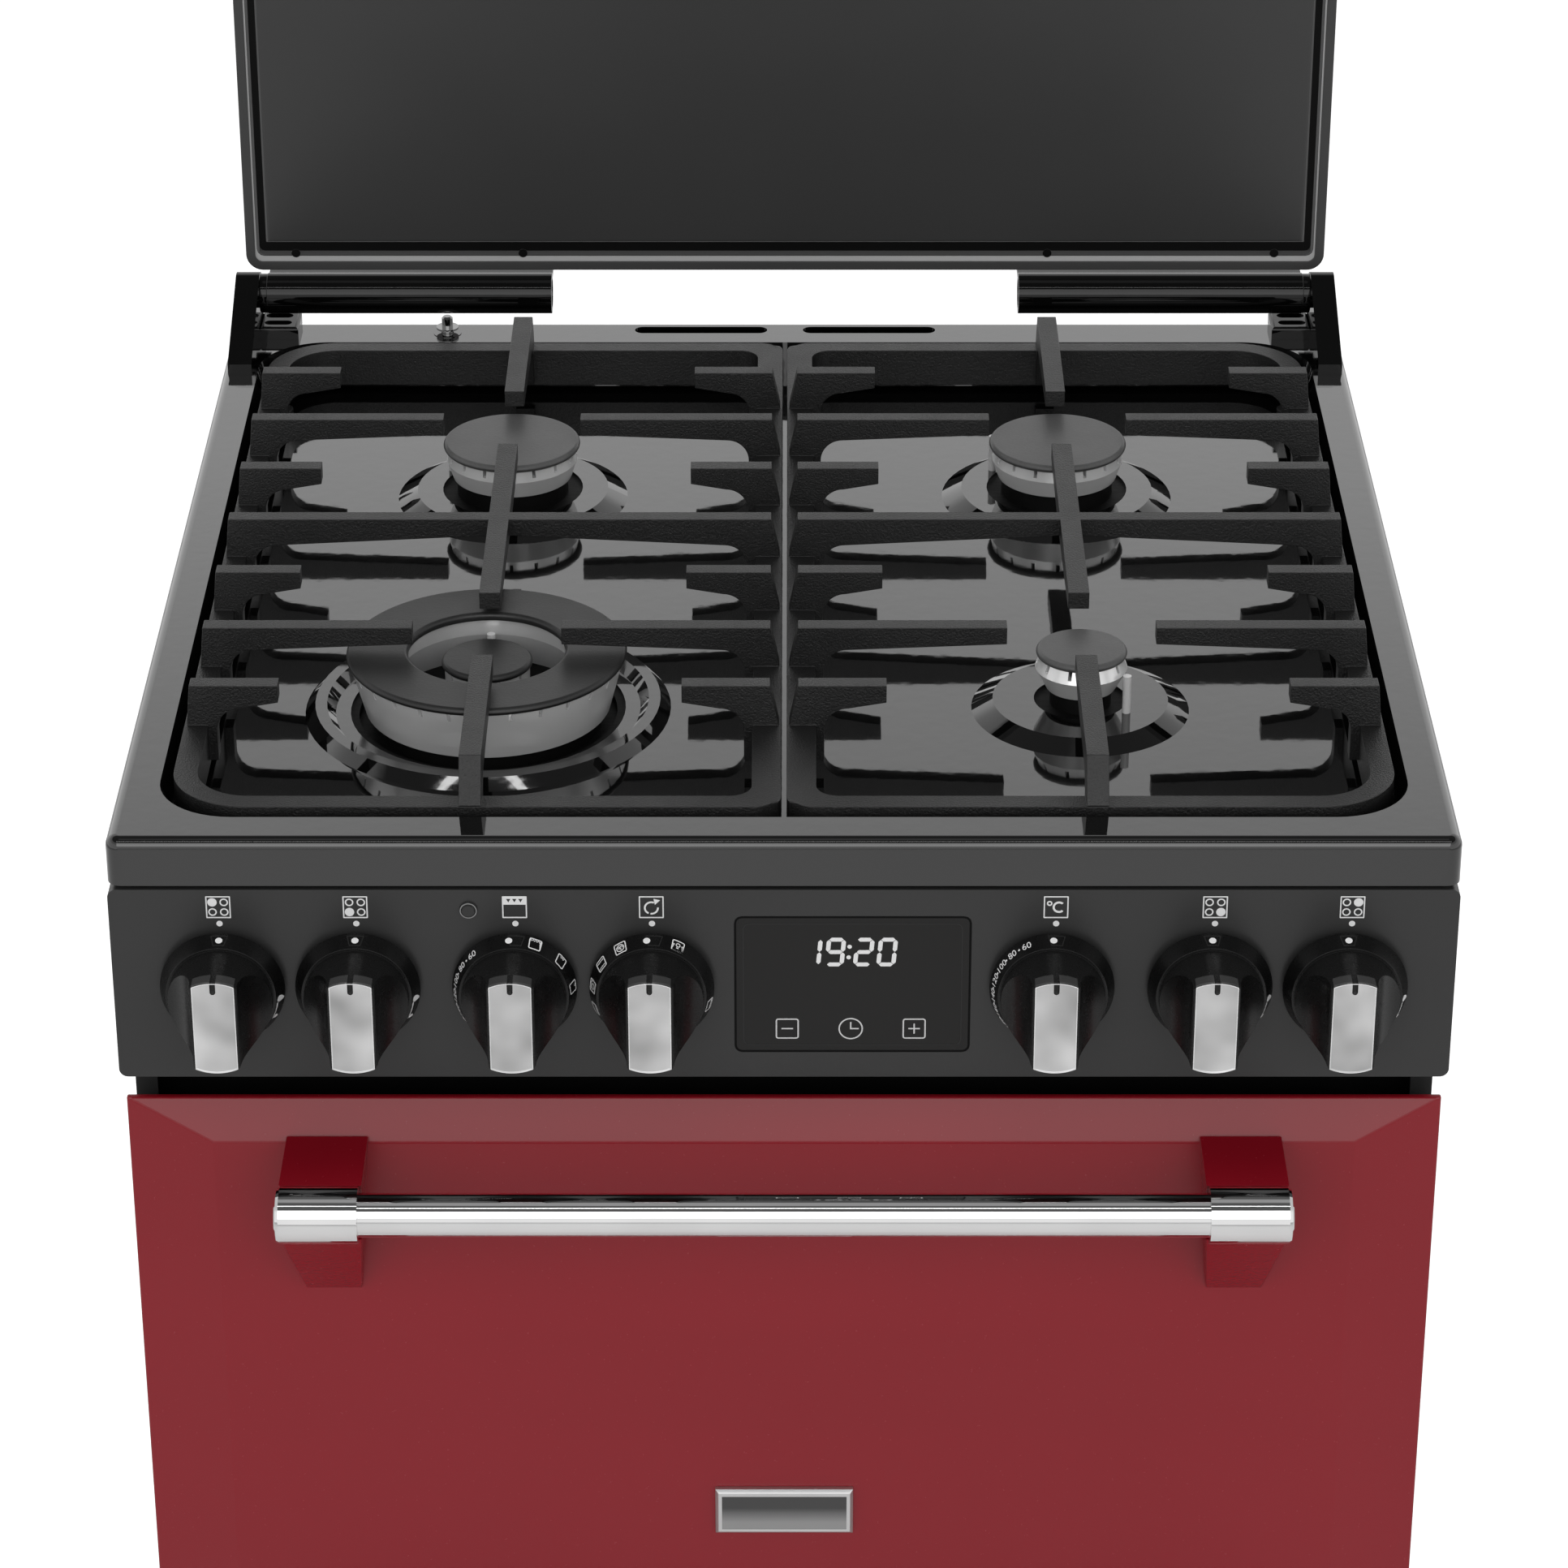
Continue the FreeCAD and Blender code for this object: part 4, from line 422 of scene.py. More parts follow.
def softened(node, body, slotName, finish, radius, least, smoothed):
    # a copy of a solid with its sharp edges rounded
    weld, level = 0.01 * mm, radians(1)
    obj = bpy.data.objects.new(node + "_soft", nodes[node].data.copy())
    bpy.context.scene.collection.objects.link(obj)
    edit(obj)
    bpy.ops.mesh.select_all(action="SELECT")
    bpy.ops.mesh.customdata_custom_splitnormals_clear()
    bpy.ops.mesh.remove_doubles(threshold=weld)
    bpy.ops.mesh.dissolve_limited(angle_limit=level, delimit={"NORMAL"})
    done()
    eased(obj, radius, 2, least, miter_outer="MITER_ARC")
    pick(obj)
    bpy.ops.object.shade_smooth_by_angle(angle=radians(smoothed))
    applied(obj, "WEIGHTED_NORMAL", keep_sharp=True, weight=80)
    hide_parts(node)
    clad(obj, node + "_dressed", body, slotName, finish)


# rounded castings and sheet edges

rounding = {                  # body, slot, finish, radius in mm, least angle rounded, smoothed
    "pan_support_left": ("left_pan_support", "cast_iron_black", None, 1.3, 35, 50),
    "pan_support_right": ("right_pan_support", "cast_iron_black", None, 1.3, 35, 50),
    "burner_cap_rear_left": ("cabinet", "cast_iron_black", "cap_iron", 0.9, 30, 60),
    "burner_cap_rear_right": ("cabinet", "cast_iron_black", "cap_iron", 0.9, 30, 60),
    "burner_cap_front_right": ("cabinet", "cast_iron_black", "cap_iron", 0.9, 30, 60),
    "wok_burner_caps": ("cabinet", "cast_iron_black", "wok_iron", 0.9, 30, 60),
    "upper_door_skin": ("upper_door", "door_red", None, 0.7, 8, 7),
    "lower_door_skin": ("lower_door", "door_red", None, 0.7, 8, 7),
    "upper_handle_brackets": ("upper_door", "door_red", None, 0.6, 20, 18),
    "lower_handle_brackets": ("lower_door", "door_red", None, 0.6, 20, 18),
    "fascia_panel": ("cabinet", "fascia_grey", None, 0.7, 35, 40),
    "lid_panel": ("lid", "gloss_black_enamel", "lid_enamel", 0.5, 35, 40),
    "lid_hinge_brackets": ("cabinet", "gloss_black_enamel", "hinge_enamel", 0.9, 35, 40),
    "badge_plate": ("upper_door", "plate_grey", None, 0.3, 20, 18),
    "knob_rear_left_burner": ("rear_left_knob", "knob_black", None, 0.5, 30, 40),
    "knob_front_left_burner": ("front_left_knob", "knob_black", None, 0.5, 30, 40),
    "knob_grill": ("grill_knob", "knob_black", None, 0.5, 30, 40),
    "knob_oven_function": ("oven_function_knob", "knob_black", None, 0.5, 30, 40),
    "knob_oven_temperature": ("oven_temperature_knob", "knob_black", None, 0.5, 30, 40),
    "knob_front_right_burner": ("front_right_knob", "knob_black", None, 0.5, 30, 40),
    "knob_rear_right_burner": ("rear_right_knob", "knob_black", None, 0.5, 30, 40),
}
for node, settings in rounding.items():
    softened(node, *settings)

# the two pan supports' inner walls nearly meet
seam = {"gap": 1.2, "wall": 3.5, "within": 5.2}
for side, name in ((-1, "pan_support_left_dressed"), (1, "pan_support_right_dressed")):
    for corner in bpy.data.objects[name].data.vertices:
        if side * corner.co.x < seam["within"] * mm:
            corner.co.x -= side * (seam["wall"] - seam["gap"]) * mm
print("edges rounded")


# flat shapes, drawn as closed outlines in millimetres across and up

front = -277.5                # of the fascia and of the clock's glass
film = 0.1                    # thickness of a printed line
many = 48                     # corners of a circle that is seen large


def disc(x, z, radius, count=32):
    return [(x + radius * cos(2 * pi * step / count), z + radius * sin(2 * pi * step / count))
            for step in range(count)]


def ring(x, z, outer, inner, count=32):
    return [disc(x, z, outer, count), disc(x, z, inner, count)]


def square(x, z, wide, high, corner=0.0):
    # a rectangle, rounded where a corner radius is given
    points = []
    for side, up, turn in ((1, 1, 0), (-1, 1, 90), (-1, -1, 180), (1, -1, 270)):
        for part in ((0, 30, 60, 90) if corner else (0,)):
            angle = radians(turn + part)
            points.append((x + side * (wide / 2 - corner) + corner * cos(angle),
                           z + up * (high / 2 - corner) + corner * sin(angle)))
    return points


def hoop(x, z, wide, high, line, corner, least=0.1):
    # a line round a rectangle, its inner corners not sharper than the least radius
    return [square(x, z, wide, high, corner),
            square(x, z, wide - 2 * line, high - 2 * line, max(corner - line, least))]


def arc(x, z, radius, line, start, stop, count=20):
    turns = [radians(start + (stop - start) * step / count) for step in range(count + 1)]
    outer, inner = radius + line / 2, radius - line / 2
    return ([(x + outer * cos(turn), z + outer * sin(turn)) for turn in turns]
            + [(x + inner * cos(turn), z + inner * sin(turn)) for turn in reversed(turns)])


def settled(obj, place, cuts):
    # turns a drawing into a mesh, cuts it finer and puts each corner in its place
    bpy.context.scene.collection.objects.link(obj)
    pick(obj)
    bpy.ops.object.convert(target="MESH")
    obj = bpy.context.object
    if cuts:
        edit(obj)
        bpy.ops.mesh.select_all(action="SELECT")
        bpy.ops.mesh.subdivide(number_cuts=cuts)
        done()
    for corner in obj.data.vertices:
        corner.co = place(corner.co)
    return obj


def inked(name, outlines, thick, place, cuts=0):
    # a thin solid in that shape
    drawing = bpy.data.curves.new(name, "CURVE")
    drawing.dimensions, drawing.fill_mode, drawing.extrude = "2D", "BOTH", thick / 2 * mm
    for outline in outlines:
        line = drawing.splines.new("POLY")
        line.points.add(len(outline) - 1)
        for point, (across, up) in zip(line.points, outline):
            point.co = (across * mm, up * mm, 0, 1)
        line.use_cyclic_u = True
    return settled(bpy.data.objects.new(name, drawing), place, cuts)


def lettered(name, words, size, thick, place, cuts=0):
    drawing = bpy.data.curves.new(name, "FONT")
    drawing.body, drawing.size, drawing.extrude = words, size * mm, thick / 2 * mm
    drawing.align_x, drawing.align_y, drawing.resolution_u = "CENTER", "CENTER", 4
    return settled(bpy.data.objects.new(name, drawing), place, cuts)


def drawn(name, outlines, thick, place, body, slotName, finish=None, cuts=0):
    clad(inked(name, outlines, thick, place, cuts), name, body, slotName, finish)


def onFront(x, z, depth):
    # flat on a front that faces the user, at that depth
    return lambda at: Vector((x * mm + at.x, depth * mm - at.z, z * mm + at.y))


def standing(level):
    # upright, around that height
    return lambda at: Vector((at.x, at.y, level * mm + at.z))


# clock window: black edge, faint inner line, digits and three keys

clock = {"centre": (30.7, 827.0), "size": (105.0, 69.0),
         "digits": ((7.6, "bc"), (18.0, "abcdfg"), (30.7, "abdeg"), (41.1, "abcdef")),
         "low": 836.4, "high": 14.6, "wide": 8.6, "stroke": 1.95, "lean": 1.25, "gap": 0.16,
         "dots": ((29.3, 846.4), (28.9, 841.0)), "dot": 1.0}
clockKeys = {"x": 30.0, "z": 804.3, "apart": 28.5, "wide": 10.4, "corner": 1.2, "line": 0.62,
             "sign": 5.2, "round": 5.5, "hands": (3.4, 3.6)}
onGlass = onFront(0, 0, front - film / 2)


def segment(x1, z1, x2, z2, stroke, gap):
    # one bar of a digit, with pointed ends
    along = Vector((x2 - x1, z2 - z1)).normalized()
    side = Vector((-along.y, along.x)) * stroke / 2
    first, last = Vector((x1, z1)) + along * gap, Vector((x2, z2)) - along * gap
    near, far = first + along * stroke / 2, last - along * stroke / 2
    return [first, near + side, far + side, last, far - side, near - side]


def figures():
    # the time, in digits of seven bars that lean to the right
    wide, high, half = clock["wide"], clock["high"], clock["stroke"] / 2
    left, right, low, top, mid = half, wide - half, half, high - half, high / 2
    bars = {"a": (left, top, right, top), "b": (right, mid, right, top),
            "c": (right, low, right, mid), "d": (left, low, right, low),
            "e": (left, low, left, mid), "f": (left, mid, left, top),
            "g": (left, mid, right, mid)}
    outlines = []
    for start, lit in clock["digits"]:
        for bar in lit:
            shape = segment(*bars[bar], clock["stroke"], clock["gap"])
            outlines.append([(start + p.x + clock["lean"] * p.y / high, clock["low"] + p.y)
                             for p in shape])
    return outlines + [disc(x, z, clock["dot"]) for x, z in clock["dots"]]


def plus(x, z, long, line):
    # three corners of one arm, turned by quarters
    half, reach = line / 2, long / 2
    arm = ((half, reach), (half, half), (reach, half))
    return [(x + a * across + b * up, z - b * across + a * up)
            for a, b in ((1, 0), (0, 1), (-1, 0), (0, -1)) for across, up in arm]


def hands(x, z, up, across, line):
    # a clock's two hands, one upwards and one to the right
    half = line / 2
    return [(x - half, z + up), (x - half, z - half), (x + across, z - half),
            (x + across, z + half), (x + half, z + half), (x + half, z + up)]


def keyShapes():
    # a minus and a plus, each in a square, and a clock between them
    x, z, wide, line = (clockKeys[key] for key in ("x", "z", "wide", "line"))
    left, right = x - clockKeys["apart"], x + clockKeys["apart"]
    return (hoop(left, z, wide, wide, line, clockKeys["corner"])
            + [square(left, z, clockKeys["sign"], line)]
            + hoop(right, z, wide, wide, line, clockKeys["corner"])
            + [plus(right, z, clockKeys["sign"], line)]
            + ring(x, z, clockKeys["round"], clockKeys["round"] - line, many)
            + [hands(x, z, *clockKeys["hands"], line)])


def windowLine(name, wider, higher, line, corner, finish):
    # a line round the window, by so much wider and higher than the window is
    (x, z), (wide, high) = clock["centre"], clock["size"]
    drawn(name, hoop(x, z, wide + wider, high + higher, line, corner), film, onGlass,
          "cabinet", "window_glass", finish)


drawn("clock_digits", figures(), film, onGlass, "cabinet", "window_glass", "print_white")
drawn("clock_keys", keyShapes(), film, onGlass, "cabinet", "window_glass", "key_grey")
windowLine("clock_edge", 0.8, 0.8, 1.0, 3.5, "line_black")
windowLine("clock_inner_line", -7, -6.4, 0.4, 3, "faint_grey")
print("clock window drawn")


# knobs: silver inserts in dark carriers, each with its pointer's slot

knobs = {                     # off is how far the mark on the fascia is from the knob's middle
    "rear_left": {"x": -250.6, "body": "rear_left_knob", "kind": "gas", "off": -0.4,
                  "burner": (-1, 1)},
    "front_left": {"x": -190.2, "body": "front_left_knob", "kind": "gas", "off": 0.0,
                   "burner": (-1, -1)},
    "grill": {"x": -120.2, "body": "grill_knob", "kind": "grill", "off": 0.7},
    "function": {"x": -59.0, "body": "oven_function_knob", "kind": "function", "off": 0.2},
    "temperature": {"x": 119.7, "body": "oven_temperature_knob", "kind": "temperature",
                    "off": 1.1},
    "front_right": {"x": 190.2, "body": "front_right_knob", "kind": "gas", "off": 1.2,
                    "burner": (1, -1)},
    "rear_right": {"x": 250.6, "body": "rear_right_knob", "kind": "gas", "off": 1.7,
                   "burner": (1, 1)},
}
grip = {"z": 827.5, "front": -316.0, "half": 9.4, "insert": 1.75, "radius": 22.75,
        "proud": 0.2, "carrier": 6.0, "carrierRadius": 22.98, "pointer": (2.5, 5.8),
        "border": 0.55, "lip": 0.12, "edge": (0.02, 0.36), "edgeDepth": 0.03}


def plug(radius, near, back):
    # slab with round ends that fills the knob's grip, with the pointer's slot cut in it
    beyond, above = 4, 12          # how far the cutter stands out, and past the slab's end
    middle = (near + back) / 2
    obj = rod(radius, back - near, 128, (90, 0, 0), (0, middle, 0))
    for side in (-1, 1):
        edit(obj)
        bpy.ops.mesh.select_all(action="SELECT")
        bpy.ops.mesh.bisect(plane_co=(side * grip["half"] * mm, 0, 0), plane_no=(side, 0, 0),
                            use_fill=True, clear_outer=True)
        done()
    edit(obj)
    choose(obj, "FACE", lambda face: face.normal.y < -0.9)
    bpy.ops.mesh.inset(thickness=grip["border"] * mm, depth=0)
    bpy.ops.mesh.inset(thickness=grip["lip"] * mm, depth=-grip["lip"] * mm)
    done()
    wide, long = grip["pointer"]
    low = grip["radius"] - long + wide / 2
    cutter = rod(wide / 2, back - near + beyond, 32, (90, 0, 0), (0, middle, low))
    edit(cutter)
    choose(cutter, "VERT", lambda corner: corner.co.z > low * mm)
    bpy.ops.transform.translate(value=(0, 0, above * mm))
    done()
    applied(obj, "BOOLEAN", operation="DIFFERENCE", object=cutter, solver="EXACT")
    bpy.data.objects.remove(cutter)
    eased(obj, grip["lip"], 1)
    return obj


insertFront = grip["front"] - grip["insert"]
for label, finish, radius, near, back in (
        ("insert", "satin_silver", grip["radius"], insertFront, grip["front"]),
        ("carrier", "carrier_grey", grip["carrierRadius"], grip["front"] - grip["proud"],
         grip["front"] + grip["carrier"])):
    piece = plug(radius, near, back)
    for name, knob in knobs.items():
        made = bpy.data.objects.new(name, piece.data.copy())
        bpy.context.scene.collection.objects.link(made)
        made.data.transform(Matrix.Translation((knob["x"] * mm, 0, grip["z"] * mm)))
        clad(made, "knob_" + label + "_" + name, knob["body"], "knob_black", finish)
    bpy.data.objects.remove(piece)


def gripOutline(inset, steps=16):
    # outline of the insert, this far inside its edge
    radius, half = grip["radius"] - inset, grip["half"] - inset
    reach = atan2(half, (radius ** 2 - half ** 2) ** 0.5)
    turns = [pi / 2 - reach + 2 * reach * step / steps for step in range(steps + 1)]
    return [(radius * cos(turn), radius * sin(turn)) for turn in turns] + [
        (-radius * cos(turn), -radius * sin(turn)) for turn in turns]


# a pale line painted round each insert's edge: a painted highlight on its lip
for name, knob in knobs.items():
    drawn("knob_insert_edge_" + name, [gripOutline(inset) for inset in grip["edge"]], film,
          onFront(knob["x"], grip["z"], insertFront - grip["edgeDepth"]), knob["body"],
          "knob_black", "print_white")
print("inserts set in the knobs")


# printed marks over the knobs, each in a square with a dot under it

icon = {"z": 866.5, "box": 11.0, "line": 0.55, "corner": 0.3, "burner": (2.6, 2.45),
        "own": 2.1, "other": (1.9, 1.3), "dot": (0.2, 858.2, 1.4)}
ovenIcons = {
    "grill": [square(0, -1.8, 9.9, 6.2)] + [
        [(x - 1.0, 4.2), (x + 1.0, 4.2), (x, 2.4)] for x in (-2.7, 0, 2.7)],
    "function": [arc(0, -0.4, 2.9, 0.8, 66, 245), arc(0, -0.4, 2.9, 0.8, 262, 364),
                 [(1.0, 4.2), (3.9, 3.5), (1.6, 1.2)]],
    "temperature": [arc(1.3, 0, 2.4, 0.95, 48, 312)] + ring(-2.9, 1.9, 1.25, 0.6),
}


def gasIcon(own):
    # the hob's four burners, the knob's own one filled
    (x, z), shapes = icon["burner"], []
    for place in ((-1, -1), (-1, 1), (1, -1), (1, 1)):
        side, up = place
        if place == own:
            shapes.append(disc(side * x, up * z, icon["own"]))
        else:
            shapes += ring(side * x, up * z, *icon["other"])
    return shapes


for name, knob in knobs.items():
    box = hoop(0, 0, icon["box"], icon["box"], icon["line"], icon["corner"])
    if knob["kind"] == "grill":
        box.pop()                  # its own window stands in for the box's inside
    sign = gasIcon(knob["burner"]) if knob["kind"] == "gas" else ovenIcons[knob["kind"]]
    x, z, radius = icon["dot"]
    drawn("fascia_mark_" + name, box + sign + [disc(x, z - icon["z"], radius)], film,
          onFront(knob["x"] + knob["off"], icon["z"], front - film / 2), "cabinet",
          "fascia_grey", "print_white")


# printed marks on the knobs' skirts, by their angle clockwise from the top

skirt = {"radius": 26.35, "depth": -285.4, "out": 0.391, "back": 0.920, "lift": 0.09,
         "film": 0.06, "shadeLift": 0.06, "shadeFilm": 0.04}


def onSkirt(x, angle, lift=skirt["lift"]):
    # wrapped on the sloping skirt of the knob at x
    def place(at):
        turn = radians(angle) + at.x / (skirt["radius"] * mm)
        spoke = Vector((sin(turn), 0, cos(turn)))
        slope = spoke * skirt["out"] + Vector((0, skirt["back"], 0))
        normal = spoke * skirt["back"] - Vector((0, skirt["out"], 0))
        centre = Vector((x * mm, skirt["depth"] * mm, grip["z"] * mm))
        return centre + spoke * skirt["radius"] * mm + slope * at.y + normal * (
            lift * mm + at.z)
    return place


def flame(size):
    # a drop with a bent tip
    fat, taper, bend, steps = 0.32, 0.3, 0.05, 28
    points = []
    for turn in (2 * pi * step / steps for step in range(steps)):
        rise = 1 - cos(turn)
        points.append((size * (fat * sin(turn) * (1 - taper * rise) + bend * rise ** 2),
                       -size / 2 * cos(turn)))
    return points


def tray(wide=5.9):
    # the frame of an oven's sign
    high, line, corner = 6.0, 0.5, 0.8
    return hoop(0, 0, wide, high, line, corner)


def zigzag(wide, count):
    # teeth of a grill element along the top of a tray
    top, shallow, deep, line = 2.6, 0.1, 0.9, 0.42
    upper = [((step / count - 1) * wide / 2, top - (deep if step % 2 else shallow))
             for step in range(2 * count + 1)]
    return upper + [(across, up - line) for across, up in reversed(upper)]


def trapezium(top, low, high):
    # by half its two widths and half its height
    return [(-top, high), (-low, -high), (low, -high), (top, high)]


dot = [disc(0, 0, 1.6)]
topRod = square(0, 1.5, 4.4, 0.4)
lowRod = square(0, -1.5, 4.4, 0.4)
gridRod = square(0, 1.7, 4.4, 0.35)
lampSign = ring(0, 0.5, 1.1, 0.7) + [square(0, -1.2, 1.2, 0.5)] + [
    square(x, 0.6, 0.9, 0.35) for x in (-2.1, 2.1)]
fanSign = ring(0, 0, 2.0, 1.6) + [
    arc(0.75 * cos(turn), 0.75 * sin(turn), 0.5, 0.35, 0, 350) for turn in (0.5, 2.6, 4.7)]
wedge = [(-3.6, -3.4), (5.4, -3.2), (5.4, -2.9), (-3.6, -2.2)]
skirtMarks = {
    "gas": [(0, dot), (95, [flame(6.4)]), (116, [flame(4.4)]), (106, [wedge])],
    "grill": [(-4, dot), (22, tray() + [zigzag(4.9, 4)]),
              (53, tray(5.4) + [zigzag(2.4, 2)]), (84, tray(5.4) + [zigzag(1.3, 1)])],
    "function": [(-4, dot), (27, tray() + lampSign), (-31, tray() + fanSign),
                 (-57, tray() + [topRod, lowRod]),
                 (-83, tray() + ring(0, -0.4, 1.5, 1.1) + [gridRod]),
                 (-108, tray() + [lowRod]), (104, tray() + [topRod])],
    "temperature": [(0, dot)],
}
dials = {"grill": (-44, range(60, 201, 20)), "temperature": (-27, range(60, 221, 20))}
dialStyle = {"turn": 8.3, "size": 4.6, "dot": 0.5}        # from a number to the dot after it
shade = {"gas": 0, "other": 3, "shape": [trapezium(3.8, 2.6, 2.9), trapezium(3.3, 2.3, 2.4)]}
for name, knob in knobs.items():
    x, kind = knob["x"], knob["kind"]
    marks = [inked("mark", shapes, skirt["film"], onSkirt(x, angle), 3)
             for angle, shapes in skirtMarks[kind]]
    if kind in dials:
        angle, numbers = dials[kind]
        for number in numbers:
            marks.append(lettered("mark", str(number), dialStyle["size"], skirt["film"],
                                  onSkirt(x, angle), 2))
            marks.append(inked("mark", [disc(0, 0, dialStyle["dot"], 12)], skirt["film"],
                               onSkirt(x, angle - dialStyle["turn"])))
            angle -= 2 * dialStyle["turn"]
    pick(*marks)
    bpy.ops.object.join()
    clad(bpy.context.object, "skirt_marks_" + name, knob["body"], "knob_black", "print_white")
    drawn("skirt_shade_" + name, shade["shape"], skirt["shadeFilm"],
          onSkirt(x, shade["gas" if kind == "gas" else "other"], skirt["shadeLift"]),
          knob["body"], "knob_black", "faint_grey", 3)
print("knob marks drawn")


# small pieces: a pale ring on the lamp's lens, a painted highlight, a gloss washer on the hob
# round the lid plunger, folded plates that close the fascia's ends, and sleeves between the
# lid's tubes and hinge arms

# a pale ring painted round the lens's edge: a painted highlight
lampRim = {"x": -140.0, "z": 865.3, "outer": 3.8, "inner": 3.35, "depth": -278.8}
drawn("lamp_lens_highlight", ring(lampRim["x"], lampRim["z"], lampRim["outer"], lampRim["inner"], many),
      film, onFront(0, 0, lampRim["depth"]), "cabinet", "lamp_lens", "rim_grey")

washer = {"x": -183.0, "y": 308.5, "hob": 900.0, "outer": 7.6, "inner": 3.3, "thick": 0.4}
drawn("plunger_grommet",
      ring(washer["x"], washer["y"], washer["outer"], washer["inner"], many), washer["thick"],
      standing(washer["hob"] + washer["thick"] / 2), "cabinet", "gloss_black_enamel")

fold = {"outer": 295.6, "inner": 287.0, "front": -268.5, "back": -253.6, "sheet": 1.0,
        "low": 783.0, "high": 872.0, "ease": 0.3}
outer, inner, sheet = fold["outer"], fold["inner"], fold["sheet"]
near, back = fold["front"], fold["back"]
for side, name in ((-1, "fascia_end_left"), (1, "fascia_end_right")):
    outline = [(side * across, deep) for across, deep in (
        (outer, near), (outer, back), (inner, back), (inner, back - sheet),
        (outer - sheet, back - sheet), (outer - sheet, near))]
    folded = inked(name, [outline], fold["high"] - fold["low"],
                   standing((fold["low"] + fold["high"]) / 2))
    eased(folded, fold["ease"], 2)
    clad(folded, name, "cabinet", "body_black")

sleeve = {"start": 279.45, "stop": 283.8, "radius": 10.6, "y": 312.5, "z": 921.5, "ease": 0.5}
for side, name in ((-1, "hinge_sleeve_left"), (1, "hinge_sleeve_right")):
    collar = rod(sleeve["radius"], sleeve["stop"] - sleeve["start"], 64, (0, 90, 0),
                 (side * (sleeve["start"] + sleeve["stop"]) / 2, sleeve["y"], sleeve["z"]))
    eased(collar, sleeve["ease"], 3)
    pick(collar)
    bpy.ops.object.shade_smooth_by_angle(angle=radians(40))
    clad(collar, name, "cabinet", "gloss_black_enamel", "hinge_enamel")
print("lamp rim, fascia ends and hinge sleeves set")


# bare plate: a grey field inside its bright frame, the field darker at its top and paler
# downwards, a painted reflection

badge = {"half": 29.4, "low": 533.0, "high": 551.6, "front": -281.3, "thick": 0.5}
field = square(0, (badge["low"] + badge["high"]) / 2, 2 * badge["half"],
               badge["high"] - badge["low"])
drawn("badge_field", [field], badge["thick"], onFront(0, 0, badge["front"]), "upper_door",
      "plate_grey", "plate_field")


# lid's pressed inner panel: a pale band of painted highlight on its flange, its groove painted
# black as shade, and a raised middle

lid = {"x": 0, "y": 325.8, "z": 1212.5, "wide": 581.2, "high": 562.2, "corner": 9.0,
       "inner": 4.0, "least": 0.4, "border": 7.0, "side": 4.6, "sheet": 0.7, "narrow": 1.4,
       "strip": ((2.9, 2.9), (4.4, 6.4)), "stripLift": 0.06, "groove": 1.0, "grooveLift": 0.08,
       "holes": (142, 265), "hole": 2.4, "holeUp": 8.0, "holeFilm": 0.2}
steps = {"wall": (0.9, -3.8), "floor": (5.2, 0), "rise": (1.2, 2.6),
         "round": (1.6, 0.7)}      # inwards and forwards
innerWide, innerHigh = lid["wide"] - 2 * lid["side"], lid["high"] - 2 * lid["border"]
flange = inked("flange", [square(lid["x"], lid["z"], lid["wide"], lid["high"], lid["corner"]),
                          square(lid["x"], lid["z"], innerWide, innerHigh, lid["inner"])],
               lid["sheet"], onFront(0, 0, lid["y"] + lid["sheet"] / 2))
bpy.ops.object.select_all(action="DESELECT")
bpy.ops.mesh.primitive_plane_add(size=1)
lidPanel = bpy.context.object
lidPanel.scale = (innerWide * mm, innerHigh * mm, 1)
lidPanel.rotation_euler = (radians(90), 0, 0)
lidPanel.location = Vector([lid[axis] for axis in "xyz"]) * mm
settle(lidPanel)
edit(lidPanel)
bpy.ops.mesh.select_all(action="SELECT")
for inwards, forwards in steps.values():
    bpy.ops.mesh.inset(thickness=inwards * mm, depth=forwards * mm)
done()
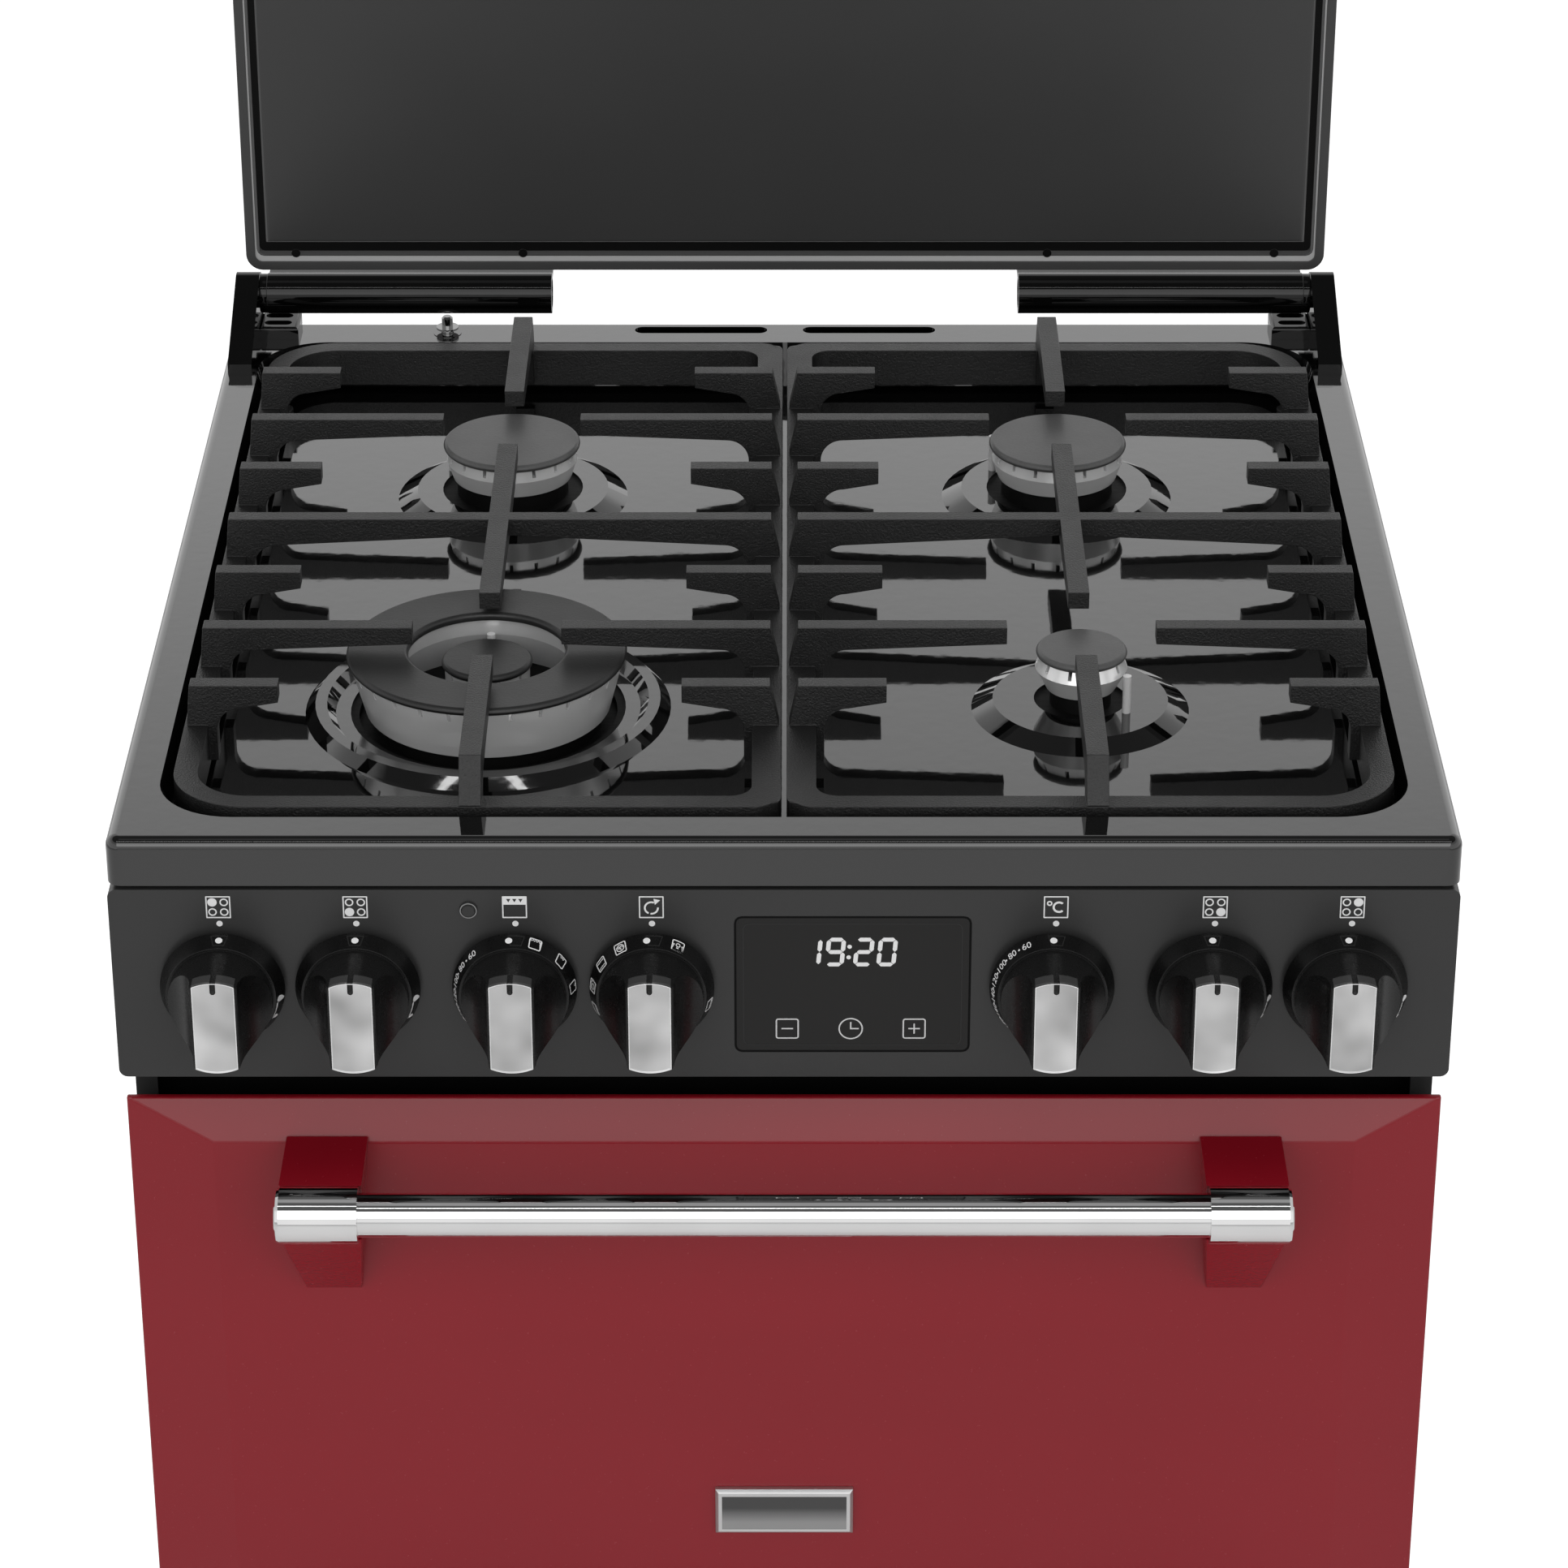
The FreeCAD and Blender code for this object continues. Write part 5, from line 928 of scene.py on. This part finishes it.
wall, floorWide, deep = steps["wall"][0], steps["floor"][0], -steps["wall"][1]
reach = innerWide / 2 - wall - floorWide / 2
for corner in lidPanel.data.vertices:          # the groove is narrower at the sides
    if abs(corner.co.x) < reach * mm:
        corner.co.x += (1 if corner.co.x > 0 else -1) * lid["narrow"] * mm
applied(lidPanel, "SOLIDIFY", thickness=lid["sheet"] * mm, offset=-1)
pick(lidPanel, flange)
bpy.ops.object.join()
bpy.ops.object.shade_smooth_by_angle(angle=radians(30))
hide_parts("lid_inner_panel")
clad(lidPanel, "lid_inner_dressed", "lid", "gloss_black_enamel", "lid_enamel")


def lidLine(name, start, stop, depth, finish):
    # a line round the lid, from so far inside its edge to so far, at the sides and ends
    shapes = [square(lid["x"], lid["z"], lid["wide"] - 2 * beside, lid["high"] - 2 * within,
                     max(lid["inner"] - max(within - lid["border"], 0), lid["least"]))
              for beside, within in (start, stop)]
    drawn(name, shapes, film, onFront(0, 0, depth), "lid", "gloss_black_enamel", finish)


# a pale band painted on the flange: a painted highlight where the flat flange catches the light
lidLine("lid_strip", *lid["strip"], lid["y"] - lid["stripLift"], "strip_grey")
foot = wall + floorWide
# the groove's floor painted black: painted shade in the recess
lidLine("lid_groove", (lid["side"] + lid["groove"], lid["border"] + lid["groove"]),
        (lid["side"] + foot - lid["narrow"], lid["border"] + foot),
        lid["y"] + deep - lid["grooveLift"], "line_black")
# black discs painted where the holes are: painted shade standing in for the holes' dark
holes = [disc(side * place, lid["z"] - lid["high"] / 2 + lid["holeUp"], lid["hole"])
         for place in lid["holes"] for side in (-1, 1)]
drawn("lid_holes", holes, lid["holeFilm"], onFront(0, 0, lid["y"] - lid["holeFilm"] / 2),
      "lid", "gloss_black_enamel", "line_black")
print("plate and lid dressed")

# the open lid isn't mirrored in the hob, which shows the pale room behind the cooker
for name in ("lid_panel_dressed", "lid_inner_dressed", "lid_hinge_tubes", "lid_strip",
             "lid_groove", "lid_holes", "hinge_sleeve_left", "hinge_sleeve_right"):
    bpy.data.objects[name].visible_glossy = False
